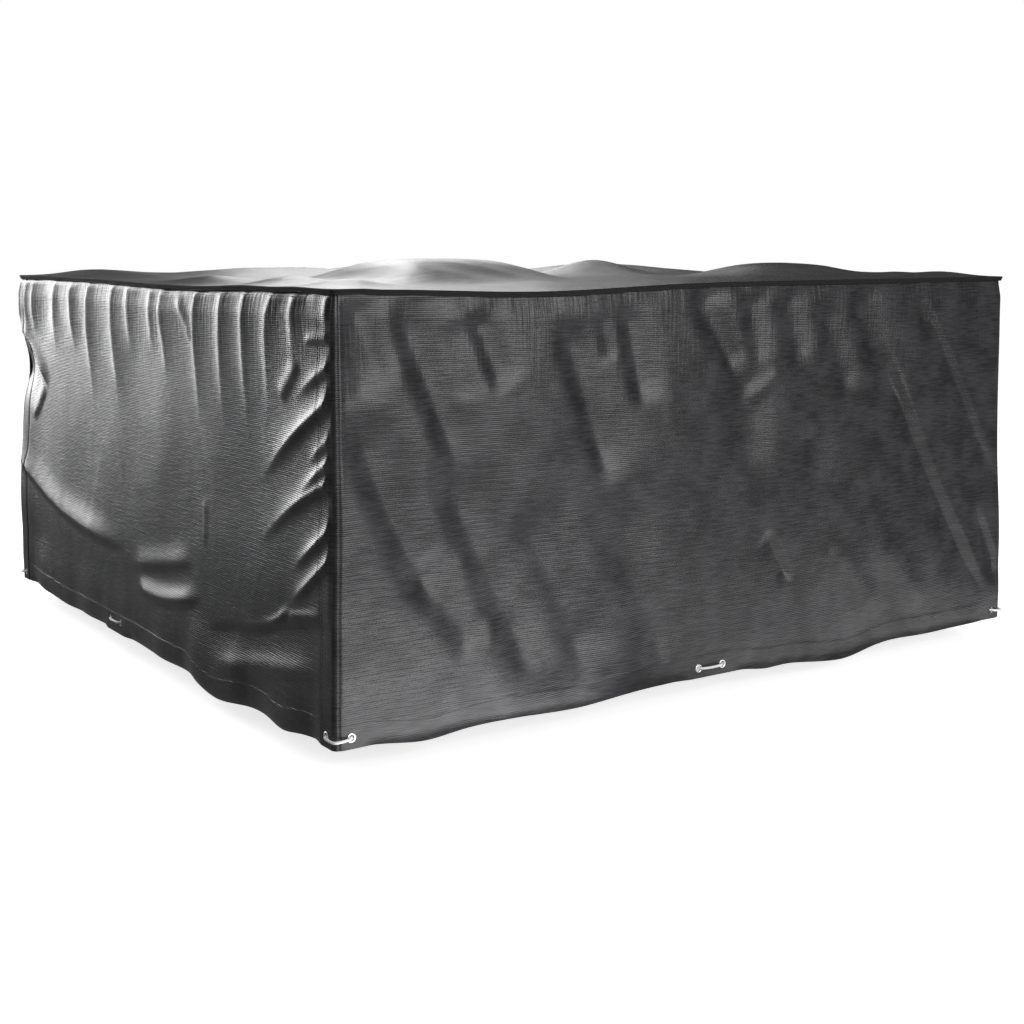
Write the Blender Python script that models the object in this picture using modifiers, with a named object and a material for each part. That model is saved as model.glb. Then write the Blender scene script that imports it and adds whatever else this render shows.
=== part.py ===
"""Fitted rain cover for a square set of patio furniture.

A hollow box of coated woven cloth, open underneath. The top panel's edge is turned down over the four
side panels. The front and back panels wrap round the upright corners, where they lap over the left and
right panels. Metal eyelets stand in pairs above the hem, and a short rope tie joins each pair.

Metres, +Z up. The origin is at the plan centre, level with the furniture top that holds the cover up.
The front panel faces -Y and the left panel faces -X. Places on a panel are given as "along", rightwards
from the panel's middle as seen from outside, and z.
"""

import math
from collections import namedtuple

import bmesh
import bpy
import numpy as np
from mathutils import Matrix, Vector

# The whole cover.
WIDTH = 2.000
DEPTH = 2.000
DROP = 0.903
CLOTH = 0.0015
GAP = 0.0003
LAP = CLOTH + GAP

# The seams.
TOP_MARGIN = 0.014
TOP_BEND = 0.005
SIDE_TOP = -0.009
CORNER_RADIUS = 0.008
SIDE_EDGE = 0.012
FLANGE = 0.060
HEM = 0.053

# The eyelets and the ties.
EYELET_OUTER = 0.0100
EYELET_BORE = 0.0062
EYELET_BARREL = 0.0070
EYELET_CREST = 0.0080
EYELET_RISE = 0.0020
EYELET_LIP = 0.0006
WASHER_RISE = 0.0014
HOLE_RADIUS = 0.0076
CUTTER_LENGTH = 0.020
EYELET_ABOVE_HEM = 0.023
EYELET_FROM_CORNER = 0.036
PAIR_HALF_SPAN = 0.036
ROPE_RADIUS = 0.0030

# The facets.
ROUND_SIDES = 12
FINE_COLUMNS = 40
COARSE_COLUMNS = 26
TOP_COLUMNS = 16
BODY_ROWS = 9
ROUTE_STEPS = 2

# How far the folds stay from the seams, how far they take to reach full height, and how far in the top
# panel's humps and sagging edges reach.
FOLD_CLEARANCE = 0.004
FOLD_FADE = 0.050
HEM_FADE = 0.100
HUMP_FADE = 0.160
SAG_REACH = 0.300

# Edges sharper than this many degrees are shaded sharp.
SHARP_ANGLE = 50

Finish = namedtuple("Finish", "name colour roughness metallic")
Fold = namedtuple("Fold", "along z end_along end_z half_width height")
Bulge = namedtuple("Bulge", "along half_width drop")
Hump = namedtuple("Hump", "x y half_x half_y height")
Outline = namedtuple("Outline", "z spread")
Route = namedtuple("Route", "run lift fall girth")
Panel = namedtuple("Panel", "name turn half_along plane wrapped columns folds hem sag")
Tie = namedtuple("Tie", "name panel along half_span droop")

CLOTH_FINISH = Finish("coated woven cloth", (0.045, 0.045, 0.047, 1.0), 0.38, 0.0)
METAL_FINISH = Finish("eyelet metal", (0.80, 0.80, 0.80, 1.0), 0.30, 1.0)
ROPE_FINISH = Finish("white rope", (0.82, 0.82, 0.80, 1.0), 0.80, 0.0)

# A fold is a soft crease on a straight line, out of the panel where its height is above zero.
FRONT_FOLDS = (
    Fold(-0.93, -0.06, -0.93, -0.22, 0.032, -0.008),
    Fold(-0.95, -0.24, -0.88, -0.51, 0.036, -0.012),
    Fold(-0.88, -0.51, -0.72, -0.74, 0.045, -0.012),
    Fold(-0.86, -0.04, -0.72, -0.35, 0.036, -0.014),
    Fold(-0.80, -0.36, -0.60, -0.74, 0.045, -0.016),
    Fold(-0.68, -0.07, -0.61, -0.20, 0.032, -0.009),
    Fold(-0.45, -0.09, -0.34, -0.41, 0.036, -0.012),
    Fold(-0.29, -0.06, -0.23, -0.24, 0.032, -0.010),
    Fold(-0.09, -0.04, 0.05, -0.21, 0.036, -0.014),
    Fold(0.05, -0.21, 0.04, -0.42, 0.045, -0.014),
    Fold(0.19, -0.04, 0.23, -0.18, 0.032, -0.008),
    Fold(0.32, -0.08, 0.40, -0.25, 0.032, -0.010),
    Fold(0.43, -0.03, 0.56, -0.31, 0.034, -0.011),
    Fold(0.60, -0.23, 0.70, -0.42, 0.034, 0.012),
    Fold(0.70, -0.42, 0.89, -0.81, 0.036, 0.013),
    Fold(0.74, -0.12, 0.92, -0.42, 0.034, 0.011),
    Fold(0.16, -0.60, 0.21, -0.69, 0.032, -0.010),
    Fold(0.39, -0.67, 0.50, -0.80, 0.050, 0.011),
    Fold(0.54, -0.66, 0.66, -0.80, 0.045, 0.010),
    Fold(-0.82, -0.86, -0.46, -0.89, 0.090, 0.012),
)
LEFT_FOLDS = (
    Fold(-0.93, -0.19, -0.75, -0.31, 0.034, 0.010),
    Fold(-0.67, -0.03, -0.67, -0.20, 0.032, -0.010),
    Fold(-0.39, -0.02, -0.38, -0.31, 0.036, -0.014),
    Fold(-0.21, -0.02, -0.19, -0.31, 0.032, -0.012),
    Fold(0.11, -0.02, 0.14, -0.21, 0.032, -0.012),
    Fold(0.33, -0.03, 0.35, -0.31, 0.036, -0.014),
    Fold(0.59, -0.03, 0.60, -0.13, 0.032, -0.008),
    Fold(0.70, -0.03, 0.71, -0.18, 0.032, -0.010),
    Fold(0.92, -0.25, 0.65, -0.40, 0.032, 0.014),
    Fold(0.92, -0.31, 0.69, -0.46, 0.032, -0.011),
    Fold(0.93, -0.37, 0.67, -0.53, 0.032, 0.013),
    Fold(0.93, -0.45, 0.65, -0.58, 0.034, -0.014),
    Fold(0.39, -0.76, 0.63, -0.72, 0.034, 0.014),
    Fold(0.63, -0.72, 0.93, -0.57, 0.034, 0.014),
    Fold(0.41, -0.80, 0.93, -0.66, 0.036, -0.013),
    Fold(-0.93, -0.55, -0.37, -0.67, 0.036, 0.014),
    Fold(-0.37, -0.67, 0.00, -0.71, 0.036, 0.012),
    Fold(-0.90, -0.62, -0.37, -0.73, 0.036, -0.012),
    Fold(0.36, -0.88, 0.48, -0.88, 0.090, 0.016),
)
BACK_FOLDS = (
    Fold(-0.86, -0.05, -0.74, -0.38, 0.050, -0.013),
    Fold(-0.62, -0.04, -0.60, -0.30, 0.050, -0.011),
    Fold(-0.36, -0.06, -0.26, -0.44, 0.055, -0.014),
    Fold(0.02, -0.04, 0.04, -0.26, 0.050, -0.012),
    Fold(0.26, -0.05, 0.20, -0.46, 0.055, -0.013),
    Fold(0.56, -0.05, 0.66, -0.32, 0.050, -0.012),
    Fold(0.90, -0.30, 0.62, -0.60, 0.055, 0.013),
    Fold(-0.90, -0.44, -0.52, -0.68, 0.055, 0.013),
    Fold(-0.30, -0.72, 0.34, -0.66, 0.055, 0.012),
    Fold(0.44, -0.84, 0.72, -0.82, 0.080, 0.012),
)
RIGHT_FOLDS = (
    Fold(-0.90, -0.20, -0.66, -0.46, 0.052, 0.013),
    Fold(-0.70, -0.04, -0.66, -0.26, 0.050, -0.012),
    Fold(-0.40, -0.04, -0.42, -0.34, 0.052, -0.013),
    Fold(-0.08, -0.05, -0.02, -0.30, 0.050, -0.012),
    Fold(0.22, -0.04, 0.26, -0.36, 0.052, -0.013),
    Fold(0.54, -0.04, 0.50, -0.28, 0.050, -0.011),
    Fold(0.90, -0.26, 0.64, -0.50, 0.052, 0.013),
    Fold(0.92, -0.52, 0.44, -0.72, 0.055, 0.014),
    Fold(-0.88, -0.60, -0.30, -0.74, 0.055, 0.013),
    Fold(-0.14, -0.86, 0.30, -0.85, 0.080, 0.012),
)

# Where the hem hangs below its straight line, and where the top edge sags.
FRONT_HEM = (
    Bulge(-0.78, 0.110, 0.014),
    Bulge(-0.48, 0.110, 0.007),
    Bulge(0.34, 0.130, 0.019),
)
LEFT_HEM = (
    Bulge(-0.60, 0.110, 0.006),
    Bulge(0.42, 0.110, 0.025),
    Bulge(0.76, 0.070, 0.010),
)
BACK_HEM = (
    Bulge(-0.46, 0.140, 0.014),
    Bulge(0.56, 0.130, 0.017),
)
RIGHT_HEM = (
    Bulge(-0.62, 0.110, 0.010),
    Bulge(0.22, 0.140, 0.016),
)
FRONT_SAG = (Bulge(-0.50, 0.300, 0.013),)
LEFT_SAG = (Bulge(0.20, 0.320, 0.008),)
BACK_SAG = (Bulge(0.30, 0.320, 0.009),)
RIGHT_SAG = (Bulge(-0.24, 0.300, 0.008),)

# What stands under the cloth lifts it. It lies level at the middle.
HUMPS = (
    Hump(-0.45, -0.50, 0.24, 0.21, 0.053),
    Hump(0.30, -0.12, 0.12, 0.13, 0.047),
    Hump(0.62, -0.60, 0.20, 0.15, 0.040),
    Hump(-0.84, 0.62, 0.14, 0.24, 0.026),
    Hump(-0.55, 0.28, 0.20, 0.22, 0.032),
    Hump(0.06, 0.58, 0.26, 0.20, 0.026),
    Hump(0.68, 0.34, 0.20, 0.28, 0.028),
)

# How far the upright corners stand out of plumb. The hem band itself is upright.
OUTLINE = (
    Outline(0.000, 0.000),
    Outline(-0.100, -0.001),
    Outline(-0.450, -0.005),
    Outline(-0.740, 0.002),
    Outline(-0.840, 0.005),
    Outline(-1.000, 0.005),
)

# One half of a tie. The run is measured from the eyelet towards the other eyelet of the pair, the lift is
# outwards from the cloth, and the fall is down. The girth is in rope radii: the first rows are the knot.
TIE_HALF = (
    Route(-0.0300, -0.0118, 0.0125, 0.90),
    Route(-0.0230, -0.0118, 0.0075, 2.10),
    Route(-0.0150, -0.0113, 0.0025, 1.00),
    Route(-0.0052, -0.0078, 0.0000, 1.00),
    Route(0.0030, 0.0028, 0.0000, 1.00),
    Route(0.0125, 0.0071, 0.0000, 1.00),
)

PANELS = (
    Panel(
        "front_panel", 0, WIDTH / 2 - LAP, DEPTH / 2 - LAP, True, FINE_COLUMNS,
        FRONT_FOLDS, FRONT_HEM, FRONT_SAG,
    ),
    Panel(
        "right_panel", 90, DEPTH / 2 - LAP, WIDTH / 2 - 2 * LAP, False, COARSE_COLUMNS,
        RIGHT_FOLDS, RIGHT_HEM, RIGHT_SAG,
    ),
    Panel(
        "back_panel", 180, WIDTH / 2 - LAP, DEPTH / 2 - LAP, True, COARSE_COLUMNS,
        BACK_FOLDS, BACK_HEM, BACK_SAG,
    ),
    Panel(
        "left_panel", -90, DEPTH / 2 - LAP, WIDTH / 2 - 2 * LAP, False, FINE_COLUMNS,
        LEFT_FOLDS, LEFT_HEM, LEFT_SAG,
    ),
)
FRONT, RIGHT, BACK, LEFT = PANELS

# On a wrapped panel "along" runs on round the corner, so a corner tie is centred on the bend.
BEND_MIDDLE = WIDTH / 2 - LAP - CORNER_RADIUS + CORNER_RADIUS * math.pi / 4
CORNER_HALF_SPAN = EYELET_FROM_CORNER - CORNER_RADIUS + CORNER_RADIUS * math.pi / 4
TIES = (
    Tie("front_left_corner", FRONT, -BEND_MIDDLE, CORNER_HALF_SPAN, 0.008),
    Tie("front", FRONT, -0.03, PAIR_HALF_SPAN, 0.001),
    Tie("front_right_corner", FRONT, BEND_MIDDLE, CORNER_HALF_SPAN, 0.004),
    Tie("right", RIGHT, -0.21, PAIR_HALF_SPAN, 0.003),
    Tie("back_left_corner", BACK, BEND_MIDDLE, CORNER_HALF_SPAN, 0.005),
    Tie("back", BACK, -0.03, PAIR_HALF_SPAN, 0.002),
    Tie("back_right_corner", BACK, -BEND_MIDDLE, CORNER_HALF_SPAN, 0.005),
    Tie("left", LEFT, -0.21, PAIR_HALF_SPAN, 0.004),
)


def smooth_step(value):
    """0 below 0, 1 above 1, and a smooth rise between."""
    value = min(max(value, 0.0), 1.0)
    return value * value * (3.0 - 2.0 * value)


def fold_height(fold, along, z):
    """A bell-shaped ridge round the fold's line, with round ends."""
    start = Vector((fold.along, fold.z))
    line = Vector((fold.end_along, fold.end_z)) - start
    point = Vector((along, z)) - start
    share = min(max(point.dot(line) / line.length_squared, 0.0), 1.0)
    distance = (point - share * line).length
    return fold.height * math.exp(-((distance / fold.half_width) ** 2))


def bulge_drop(bulges, along):
    return sum(b.drop * math.exp(-(((along - b.along) / b.half_width) ** 2)) for b in bulges)


def corner_fade(panel, along):
    """1 over the panel's face and 0 at its upright corners, so that the corners run straight."""
    return smooth_step((panel.half_along - abs(along) - FLANGE - FOLD_CLEARANCE) / FOLD_FADE)


def spread(z):
    """The factor by which the plan grows at a height."""
    heights = [row.z for row in reversed(OUTLINE)]
    spreads = [row.spread for row in reversed(OUTLINE)]
    return 1.0 + float(np.interp(z, heights, spreads))


def path_point(panel, along):
    """The outer surface in plan at a distance along: its x and y, and the way out as x and y."""
    bend_start = panel.half_along - CORNER_RADIUS
    over = abs(along) - bend_start
    if over <= 0 or not panel.wrapped:
        return along, -panel.plane, 0.0, -1.0
    side = math.copysign(1.0, along)
    angle = min(over / CORNER_RADIUS, math.pi / 2)
    past = max(over - CORNER_RADIUS * math.pi / 2, 0.0)
    x = side * (bend_start + CORNER_RADIUS * math.sin(angle))
    y = -panel.plane + CORNER_RADIUS * (1.0 - math.cos(angle)) + past
    return x, y, side * math.sin(angle), -math.cos(angle)


def column_places(panel):
    """Where the panel's columns stand: evenly over the face, and closer round the corners."""
    bend_start = panel.half_along - CORNER_RADIUS
    face_end = bend_start if panel.wrapped else panel.half_along - FLANGE - FOLD_CLEARANCE
    face = list(np.linspace(-face_end, face_end, panel.columns))
    if not panel.wrapped:
        edge = panel.half_along - SIDE_EDGE
        return [-edge, *face, edge]
    bend_end = bend_start + CORNER_RADIUS * math.pi / 2
    corner = [BEND_MIDDLE, bend_end, bend_end + FLANGE - CORNER_RADIUS]
    return [-place for place in reversed(corner)] + face + corner


def row_heights(panel, along):
    """The heights of a column's points, from under the top panel down to the hem."""
    fade = corner_fade(panel, along)
    top = SIDE_TOP - fade * bulge_drop(panel.sag, along)
    hem = -DROP - fade * bulge_drop(panel.hem, along)
    lapped = top - (TOP_MARGIN + SIDE_TOP) - FOLD_CLEARANCE
    stitched = hem + HEM
    body = np.linspace(lapped, stitched + HEM, BODY_ROWS)
    return [top, *body, stitched, hem]


def push_out(panel, along, z, heights):
    """How far the folds push a point out of the plain panel. It is zero at seams and eyelets."""
    pitch = 2 * panel.half_along / panel.columns
    height = sum(fold_height(fold, along, z) for fold in panel.folds)
    clear_of_top = smooth_step((heights[1] - z) / FOLD_FADE)
    pairs = [tie.along for tie in TIES if tie.panel is panel]
    from_pair = min(abs(along - place) for place in pairs)
    near_pair = 1.0 - smooth_step((from_pair - PAIR_HALF_SPAN - EYELET_OUTER - pitch) / HEM_FADE)
    near_hem = 1.0 - smooth_step((z - heights[-2]) / HEM_FADE)
    return height * clear_of_top * corner_fade(panel, along) * (1.0 - near_pair * near_hem)


def make_material(finish):
    material = bpy.data.materials.new(finish.name)
    material.use_nodes = True
    shader = material.node_tree.nodes["Principled BSDF"]
    shader.inputs["Base Color"].default_value = finish.colour
    shader.inputs["Roughness"].default_value = finish.roughness
    shader.inputs["Metallic"].default_value = finish.metallic
    return material


def make_collection(name):
    collection = bpy.data.collections.new(name)
    bpy.context.scene.collection.children.link(collection)
    return collection


def add_object(name, data, collection, material=None):
    made = bpy.data.objects.new(name, data)
    collection.objects.link(made)
    if material and not data.materials:
        data.materials.append(material)
    return made


def mesh_from(name, built):
    """A smooth-shaded mesh from a bmesh, which is freed."""
    mesh = bpy.data.meshes.new(name)
    built.to_mesh(mesh)
    built.free()
    mesh.shade_smooth()
    mesh.set_sharp_from_angle(angle=math.radians(SHARP_ANGLE))
    return mesh


def give_thickness(sheet):
    solidify = sheet.modifiers.new("thickness", "SOLIDIFY")
    solidify.thickness = CLOTH
    solidify.offset = -1.0
    solidify.use_even_offset = True


def cut_holes(sheet, cutters):
    boolean = sheet.modifiers.new("eyelet holes", "BOOLEAN")
    boolean.operation = "DIFFERENCE"
    boolean.operand_type = "COLLECTION"
    boolean.collection = cutters
    boolean.solver = "EXACT"


def make_side_panel(panel, collection, cutters, cloth):
    """A side panel as one grid of columns and rows, pushed out by its folds."""
    columns = column_places(panel)
    heights = [row_heights(panel, along) for along in columns]
    last_column, last_row = len(columns) - 1, len(heights[0]) - 1
    built = bmesh.new()
    bmesh.ops.create_grid(built, x_segments=last_column, y_segments=last_row, size=0.5)
    for vert in built.verts:
        column = round((vert.co.x + 0.5) * last_column)
        row = round((0.5 - vert.co.y) * last_row)
        along, z = columns[column], heights[column][row]
        x, y, out_x, out_y = path_point(panel, along)
        push = push_out(panel, along, z, heights[column])
        growth = spread(z)
        vert.co = (x * growth + out_x * push, y * growth + out_y * push, z)
    sheet = add_object(panel.name, mesh_from(panel.name, built), collection, cloth)
    sheet.rotation_euler.z = math.radians(panel.turn)
    give_thickness(sheet)
    cut_holes(sheet, cutters)


def edge_sag(x, y):
    """How far the top sinks near its edges, where each side's top edge sags."""
    places = {FRONT: (x, -y, DEPTH), RIGHT: (y, x, WIDTH), BACK: (-x, y, DEPTH), LEFT: (-y, -x, WIDTH)}
    sunk = 0.0
    for panel, (along, outwards, size) in places.items():
        inboard = (size / 2 - outwards) / SAG_REACH
        sunk += bulge_drop(panel.sag, along) * corner_fade(panel, along) * (1.0 - smooth_step(inboard))
    return sunk


def top_height(x, y):
    """The height of the top panel's underside: the humps, fading out towards the edges."""
    inboard = min(WIDTH / 2 - abs(x), DEPTH / 2 - abs(y))
    humps = sum(
        h.height * math.exp(-(((x - h.x) / h.half_x) ** 2) - ((y - h.y) / h.half_y) ** 2)
        for h in HUMPS
    )
    return humps * smooth_step(inboard / HUMP_FADE) - edge_sag(x, y)


def turn_edge_down(built, inset, new_inset, drop):
    """Adds a strip round the open edge, from one inset of the outline to the next, lower down."""
    rim = [edge for edge in built.edges if edge.is_boundary]
    strip = bmesh.ops.extrude_edge_only(built, edges=rim)["geom"]
    for vert in [item for item in strip if isinstance(item, bmesh.types.BMVert)]:
        if abs(abs(vert.co.x) - (WIDTH / 2 - inset)) < GAP:
            vert.co.x = math.copysign(WIDTH / 2 - new_inset, vert.co.x)
        if abs(abs(vert.co.y) - (DEPTH / 2 - inset)) < GAP:
            vert.co.y = math.copysign(DEPTH / 2 - new_inset, vert.co.y)
        vert.co.z -= drop


def make_top_panel(collection, cloth):
    """The humped top, with its edge bent down and left hanging as the lap."""
    built = bmesh.new()
    bmesh.ops.create_grid(built, x_segments=TOP_COLUMNS, y_segments=TOP_COLUMNS, size=0.5)
    for vert in built.verts:
        x = vert.co.x * (WIDTH - 2 * TOP_BEND)
        y = vert.co.y * (DEPTH - 2 * TOP_BEND)
        vert.co = (x, y, top_height(x, y) + CLOTH)
    turn_edge_down(built, TOP_BEND, 0.0, TOP_BEND)
    turn_edge_down(built, 0.0, 0.0, TOP_MARGIN + CLOTH - TOP_BEND)
    bmesh.ops.recalc_face_normals(built, faces=built.faces)
    give_thickness(add_object("top_panel", mesh_from("top_panel", built), collection, cloth))


def eyelet_place(tie, side):
    """One eyelet's centre on the cloth's outer surface, its turn about Z, and the cloth it clamps."""
    panel = tie.panel
    along = tie.along + side * tie.half_span
    x, y, out_x, out_y = path_point(panel, along)
    z = EYELET_ABOVE_HEM - DROP
    turn = math.radians(panel.turn)
    growth = spread(z)
    centre = Matrix.Rotation(turn, 3, "Z") @ Vector((x * growth, y * growth, z))
    facing = math.atan2(out_x, -out_y)
    stack = CLOTH if facing == 0.0 else CLOTH + LAP
    return centre, turn + facing, stack


def eyelet_profile(stack):
    """The ring's section as radius and height, up its bore and down its outside."""
    inner_face = -stack - GAP
    return (
        (EYELET_BORE, inner_face),
        (EYELET_BORE, EYELET_LIP),
        (EYELET_CREST, EYELET_RISE),
        (EYELET_OUTER, GAP),
        (EYELET_BARREL, GAP),
        (EYELET_BARREL, inner_face),
        (EYELET_OUTER, inner_face),
        (EYELET_CREST, inner_face - WASHER_RISE),
    )


def eyelet_mesh(name, stack):
    profile = eyelet_profile(stack)
    mesh = bpy.data.meshes.new(name)
    count = len(profile)
    edges = [(index, (index + 1) % count) for index in range(count)]
    mesh.from_pydata([(radius, 0.0, height) for radius, height in profile], edges, [])
    return mesh


def make_eyelet(name, mesh, centre, turn, collection, metal):
    """A turned ring whose axis is square to the cloth."""
    eyelet = add_object(name, mesh, collection, metal)
    eyelet.location = centre
    eyelet.rotation_euler = (math.pi / 2, 0.0, turn)
    screw = eyelet.modifiers.new("turning", "SCREW")
    screw.steps = ROUND_SIDES
    screw.render_steps = ROUND_SIDES
    screw.use_merge_vertices = True
    screw.merge_threshold = 0.0001
    screw.use_smooth_shade = True


def make_cutter(name, centre, turn, cutters):
    """A round bar through the cloth at an eyelet."""
    built = bmesh.new()
    bmesh.ops.create_cone(
        built, cap_ends=True, segments=ROUND_SIDES,
        radius1=HOLE_RADIUS, radius2=HOLE_RADIUS, depth=CUTTER_LENGTH,
    )
    cutter = add_object(name, mesh_from(name, built), cutters)
    cutter.location = centre
    cutter.rotation_euler = (math.pi / 2, 0.0, turn)
    cutter.display_type = "WIRE"
    cutter.hide_render = True


def route_points(tie):
    """The tie's own points, from knot to knot, as (along, lift, z, girth) on its panel."""
    level = EYELET_ABOVE_HEM - DROP
    half = []
    for row in TIE_HALF:
        loose = tie.droop * smooth_step(row.run / tie.half_span)
        half.append((row.run - tie.half_span, row.lift, level - row.fall - loose, row.girth))
    middle = (0.0, TIE_HALF[-1].lift, level - tie.droop, 1.0)
    other = [(-run, lift, z, girth) for run, lift, z, girth in reversed(half)]
    return [*half, middle, *other]


def smooth_curve(points, steps):
    """Catmull-Rom points through a list of points, with straight ends."""
    points = np.array(points)
    guarded = np.vstack([2 * points[0] - points[1], points, 2 * points[-1] - points[-2]])
    found = []
    for before, start, end, after in zip(guarded, guarded[1:], guarded[2:], guarded[3:]):
        for share in np.arange(steps) / steps:
            slope = end - before
            bend = 2 * before - 5 * start + 4 * end - after
            twist = 3 * start - before - 3 * end + after
            found.append(start + 0.5 * share * (slope + share * (bend + share * twist)))
    return [*found, points[-1]]


def make_tie(tie, collection, rope):
    """A rope tube from knot to knot, through both eyelets of its pair."""
    growth = spread(EYELET_ABOVE_HEM - DROP)
    curve = bpy.data.curves.new("tie_" + tie.name, "CURVE")
    curve.dimensions = "3D"
    curve.bevel_depth = ROPE_RADIUS
    curve.bevel_resolution = 2
    curve.use_fill_caps = True
    spline = curve.splines.new("POLY")
    points = smooth_curve(route_points(tie), ROUTE_STEPS)
    spline.points.add(len(points) - 1)
    spline.use_smooth = True
    for point, (along, lift, z, girth) in zip(spline.points, points):
        x, y, out_x, out_y = path_point(tie.panel, tie.along + along)
        point.co = (x * growth + out_x * lift, y * growth + out_y * lift, z, 1.0)
        point.radius = girth
    made = add_object("tie_" + tie.name, curve, collection, rope)
    made.rotation_euler.z = math.radians(tie.panel.turn)


def clear_scene():
    for old in list(bpy.data.objects):
        bpy.data.objects.remove(old)


def build_cover():
    clear_scene()
    parts = make_collection("patio furniture cover")
    cutters = make_collection("cutters")
    cloth = make_material(CLOTH_FINISH)
    metal = make_material(METAL_FINISH)
    rope = make_material(ROPE_FINISH)
    single = eyelet_mesh("eyelet through one layer", CLOTH)
    double = eyelet_mesh("eyelet through a lapped corner", CLOTH + LAP)
    for tie in TIES:
        for end, side in (("a", -1), ("b", 1)):
            centre, turn, stack = eyelet_place(tie, side)
            name = f"eyelet_{tie.name}_{end}"
            make_cutter("hole_for_" + name, centre, turn, cutters)
            ring = double if stack > CLOTH else single
            make_eyelet(name, ring, centre, turn, parts, metal)
        make_tie(tie, parts, rope)
    for panel in PANELS:
        make_side_panel(panel, parts, cutters, cloth)
    make_top_panel(parts, cloth)


build_cover()
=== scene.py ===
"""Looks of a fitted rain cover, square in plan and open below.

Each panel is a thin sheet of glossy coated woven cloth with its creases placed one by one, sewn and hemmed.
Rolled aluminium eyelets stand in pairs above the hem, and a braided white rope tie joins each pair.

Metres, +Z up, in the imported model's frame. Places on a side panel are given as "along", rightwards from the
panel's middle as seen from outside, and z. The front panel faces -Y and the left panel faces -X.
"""

from __future__ import annotations

import logging
import math
from dataclasses import dataclass, field
from enum import Enum

import bpy
import numpy as np
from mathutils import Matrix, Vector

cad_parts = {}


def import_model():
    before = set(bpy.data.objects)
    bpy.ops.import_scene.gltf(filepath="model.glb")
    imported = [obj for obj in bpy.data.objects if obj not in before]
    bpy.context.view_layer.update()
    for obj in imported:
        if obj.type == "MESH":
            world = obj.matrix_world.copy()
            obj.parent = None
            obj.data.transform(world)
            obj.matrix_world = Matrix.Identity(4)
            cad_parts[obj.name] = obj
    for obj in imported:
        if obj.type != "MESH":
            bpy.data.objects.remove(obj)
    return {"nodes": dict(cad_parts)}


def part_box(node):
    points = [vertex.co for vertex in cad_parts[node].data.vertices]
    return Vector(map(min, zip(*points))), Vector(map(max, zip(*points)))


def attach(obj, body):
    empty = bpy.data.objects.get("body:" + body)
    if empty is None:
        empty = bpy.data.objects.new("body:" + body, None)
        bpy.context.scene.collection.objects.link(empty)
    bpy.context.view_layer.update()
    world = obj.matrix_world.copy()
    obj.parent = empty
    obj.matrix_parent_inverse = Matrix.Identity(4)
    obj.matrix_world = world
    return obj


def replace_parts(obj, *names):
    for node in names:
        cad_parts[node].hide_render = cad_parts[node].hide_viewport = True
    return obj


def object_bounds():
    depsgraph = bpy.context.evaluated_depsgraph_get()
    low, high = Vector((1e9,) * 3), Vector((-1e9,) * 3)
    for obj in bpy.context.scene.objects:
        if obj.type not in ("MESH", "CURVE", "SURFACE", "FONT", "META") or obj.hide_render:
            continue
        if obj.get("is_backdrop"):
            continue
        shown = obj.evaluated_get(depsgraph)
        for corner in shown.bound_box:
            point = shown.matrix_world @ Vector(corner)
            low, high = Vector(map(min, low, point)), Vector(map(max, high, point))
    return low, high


LOG = logging.getLogger("patio_cover")
IMAGE_SIDE = 1024  # pixels of the square frame that the focal length is given in
MILLIMETRE = 0.001
UP = np.array([0.0, 0.0, 1.0])
LATTICE = 64  # corners along each side of the noise's lattice, after which it repeats
TINY = 1e-9  # keeps a length from dividing by 0
CLEARANCE = 0.034  # of the hem's lowest point over the floor


class Fading(Enum):
    """How a crease's height changes on its way."""

    BOTH_ENDS = "rises from nothing and dies away"
    FAR_END = "full at its start, as at a gathered seam, and dies away"


class Section(Enum):
    """How a crease is shaped across its line."""

    SOFT = "a bell"
    CRISP = "a point, rounded a little"


class Lie(Enum):
    """How a sheet of the cover is held."""

    OVER = "draped"
    DOWN = "hung"


# ---------------------------------------------------------------------------------------------- arithmetic


def smooth_step(value: np.ndarray | float) -> np.ndarray:
    """0 below 0, 1 above 1, and 3v^2 - 2v^3 between.

    Args:
        value: Any numbers.

    Returns:
        The smoothed numbers, from 0 to 1.
    """
    value = np.clip(value, 0.0, 1.0)
    return value * value * (3.0 - 2.0 * value)


def bell(distance: np.ndarray, half_width: np.ndarray | float) -> np.ndarray:
    """The bell curve exp(-(distance / half width)^2)."""
    return np.exp(-((distance / half_width) ** 2))


def rolling_noise(across: np.ndarray, down: np.ndarray, cell: tuple[float, float], seed: int) -> np.ndarray:
    """Gradient noise of about -0.7 to 0.7.

    Each corner of a lattice holds a random slope. A point takes the four slopes round it times its distance
    from each, blended with 6t^5 - 15t^4 + 10t^3.

    Args:
        across: First coordinate of every point, in metres.
        down: Second coordinate of every point, in metres.
        cell: The lattice's two spacings, in metres.
        seed: Which noise.

    Returns:
        The noise at every point.
    """
    slopes = np.random.default_rng(seed).uniform(-1.0, 1.0, (2, LATTICE, LATTICE))
    u, v = across / cell[0], down / cell[1]
    left, top = np.floor(u).astype(int), np.floor(v).astype(int)
    u, v = u - left, v - top
    blend_u, blend_v = (t * t * t * (t * (6.0 * t - 15.0) + 10.0) for t in (u, v))

    def corner(step_u: int, step_v: int) -> np.ndarray:
        """The slope at one corner of each point's cell, times the point's distance from it."""
        row, column = (left + step_u) % LATTICE, (top + step_v) % LATTICE
        return slopes[0, row, column] * (u - step_u) + slopes[1, row, column] * (v - step_v)

    upper = corner(0, 0) * (1.0 - blend_u) + corner(1, 0) * blend_u
    lower = corner(0, 1) * (1.0 - blend_u) + corner(1, 1) * blend_u
    return upper * (1.0 - blend_v) + lower * blend_v


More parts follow.
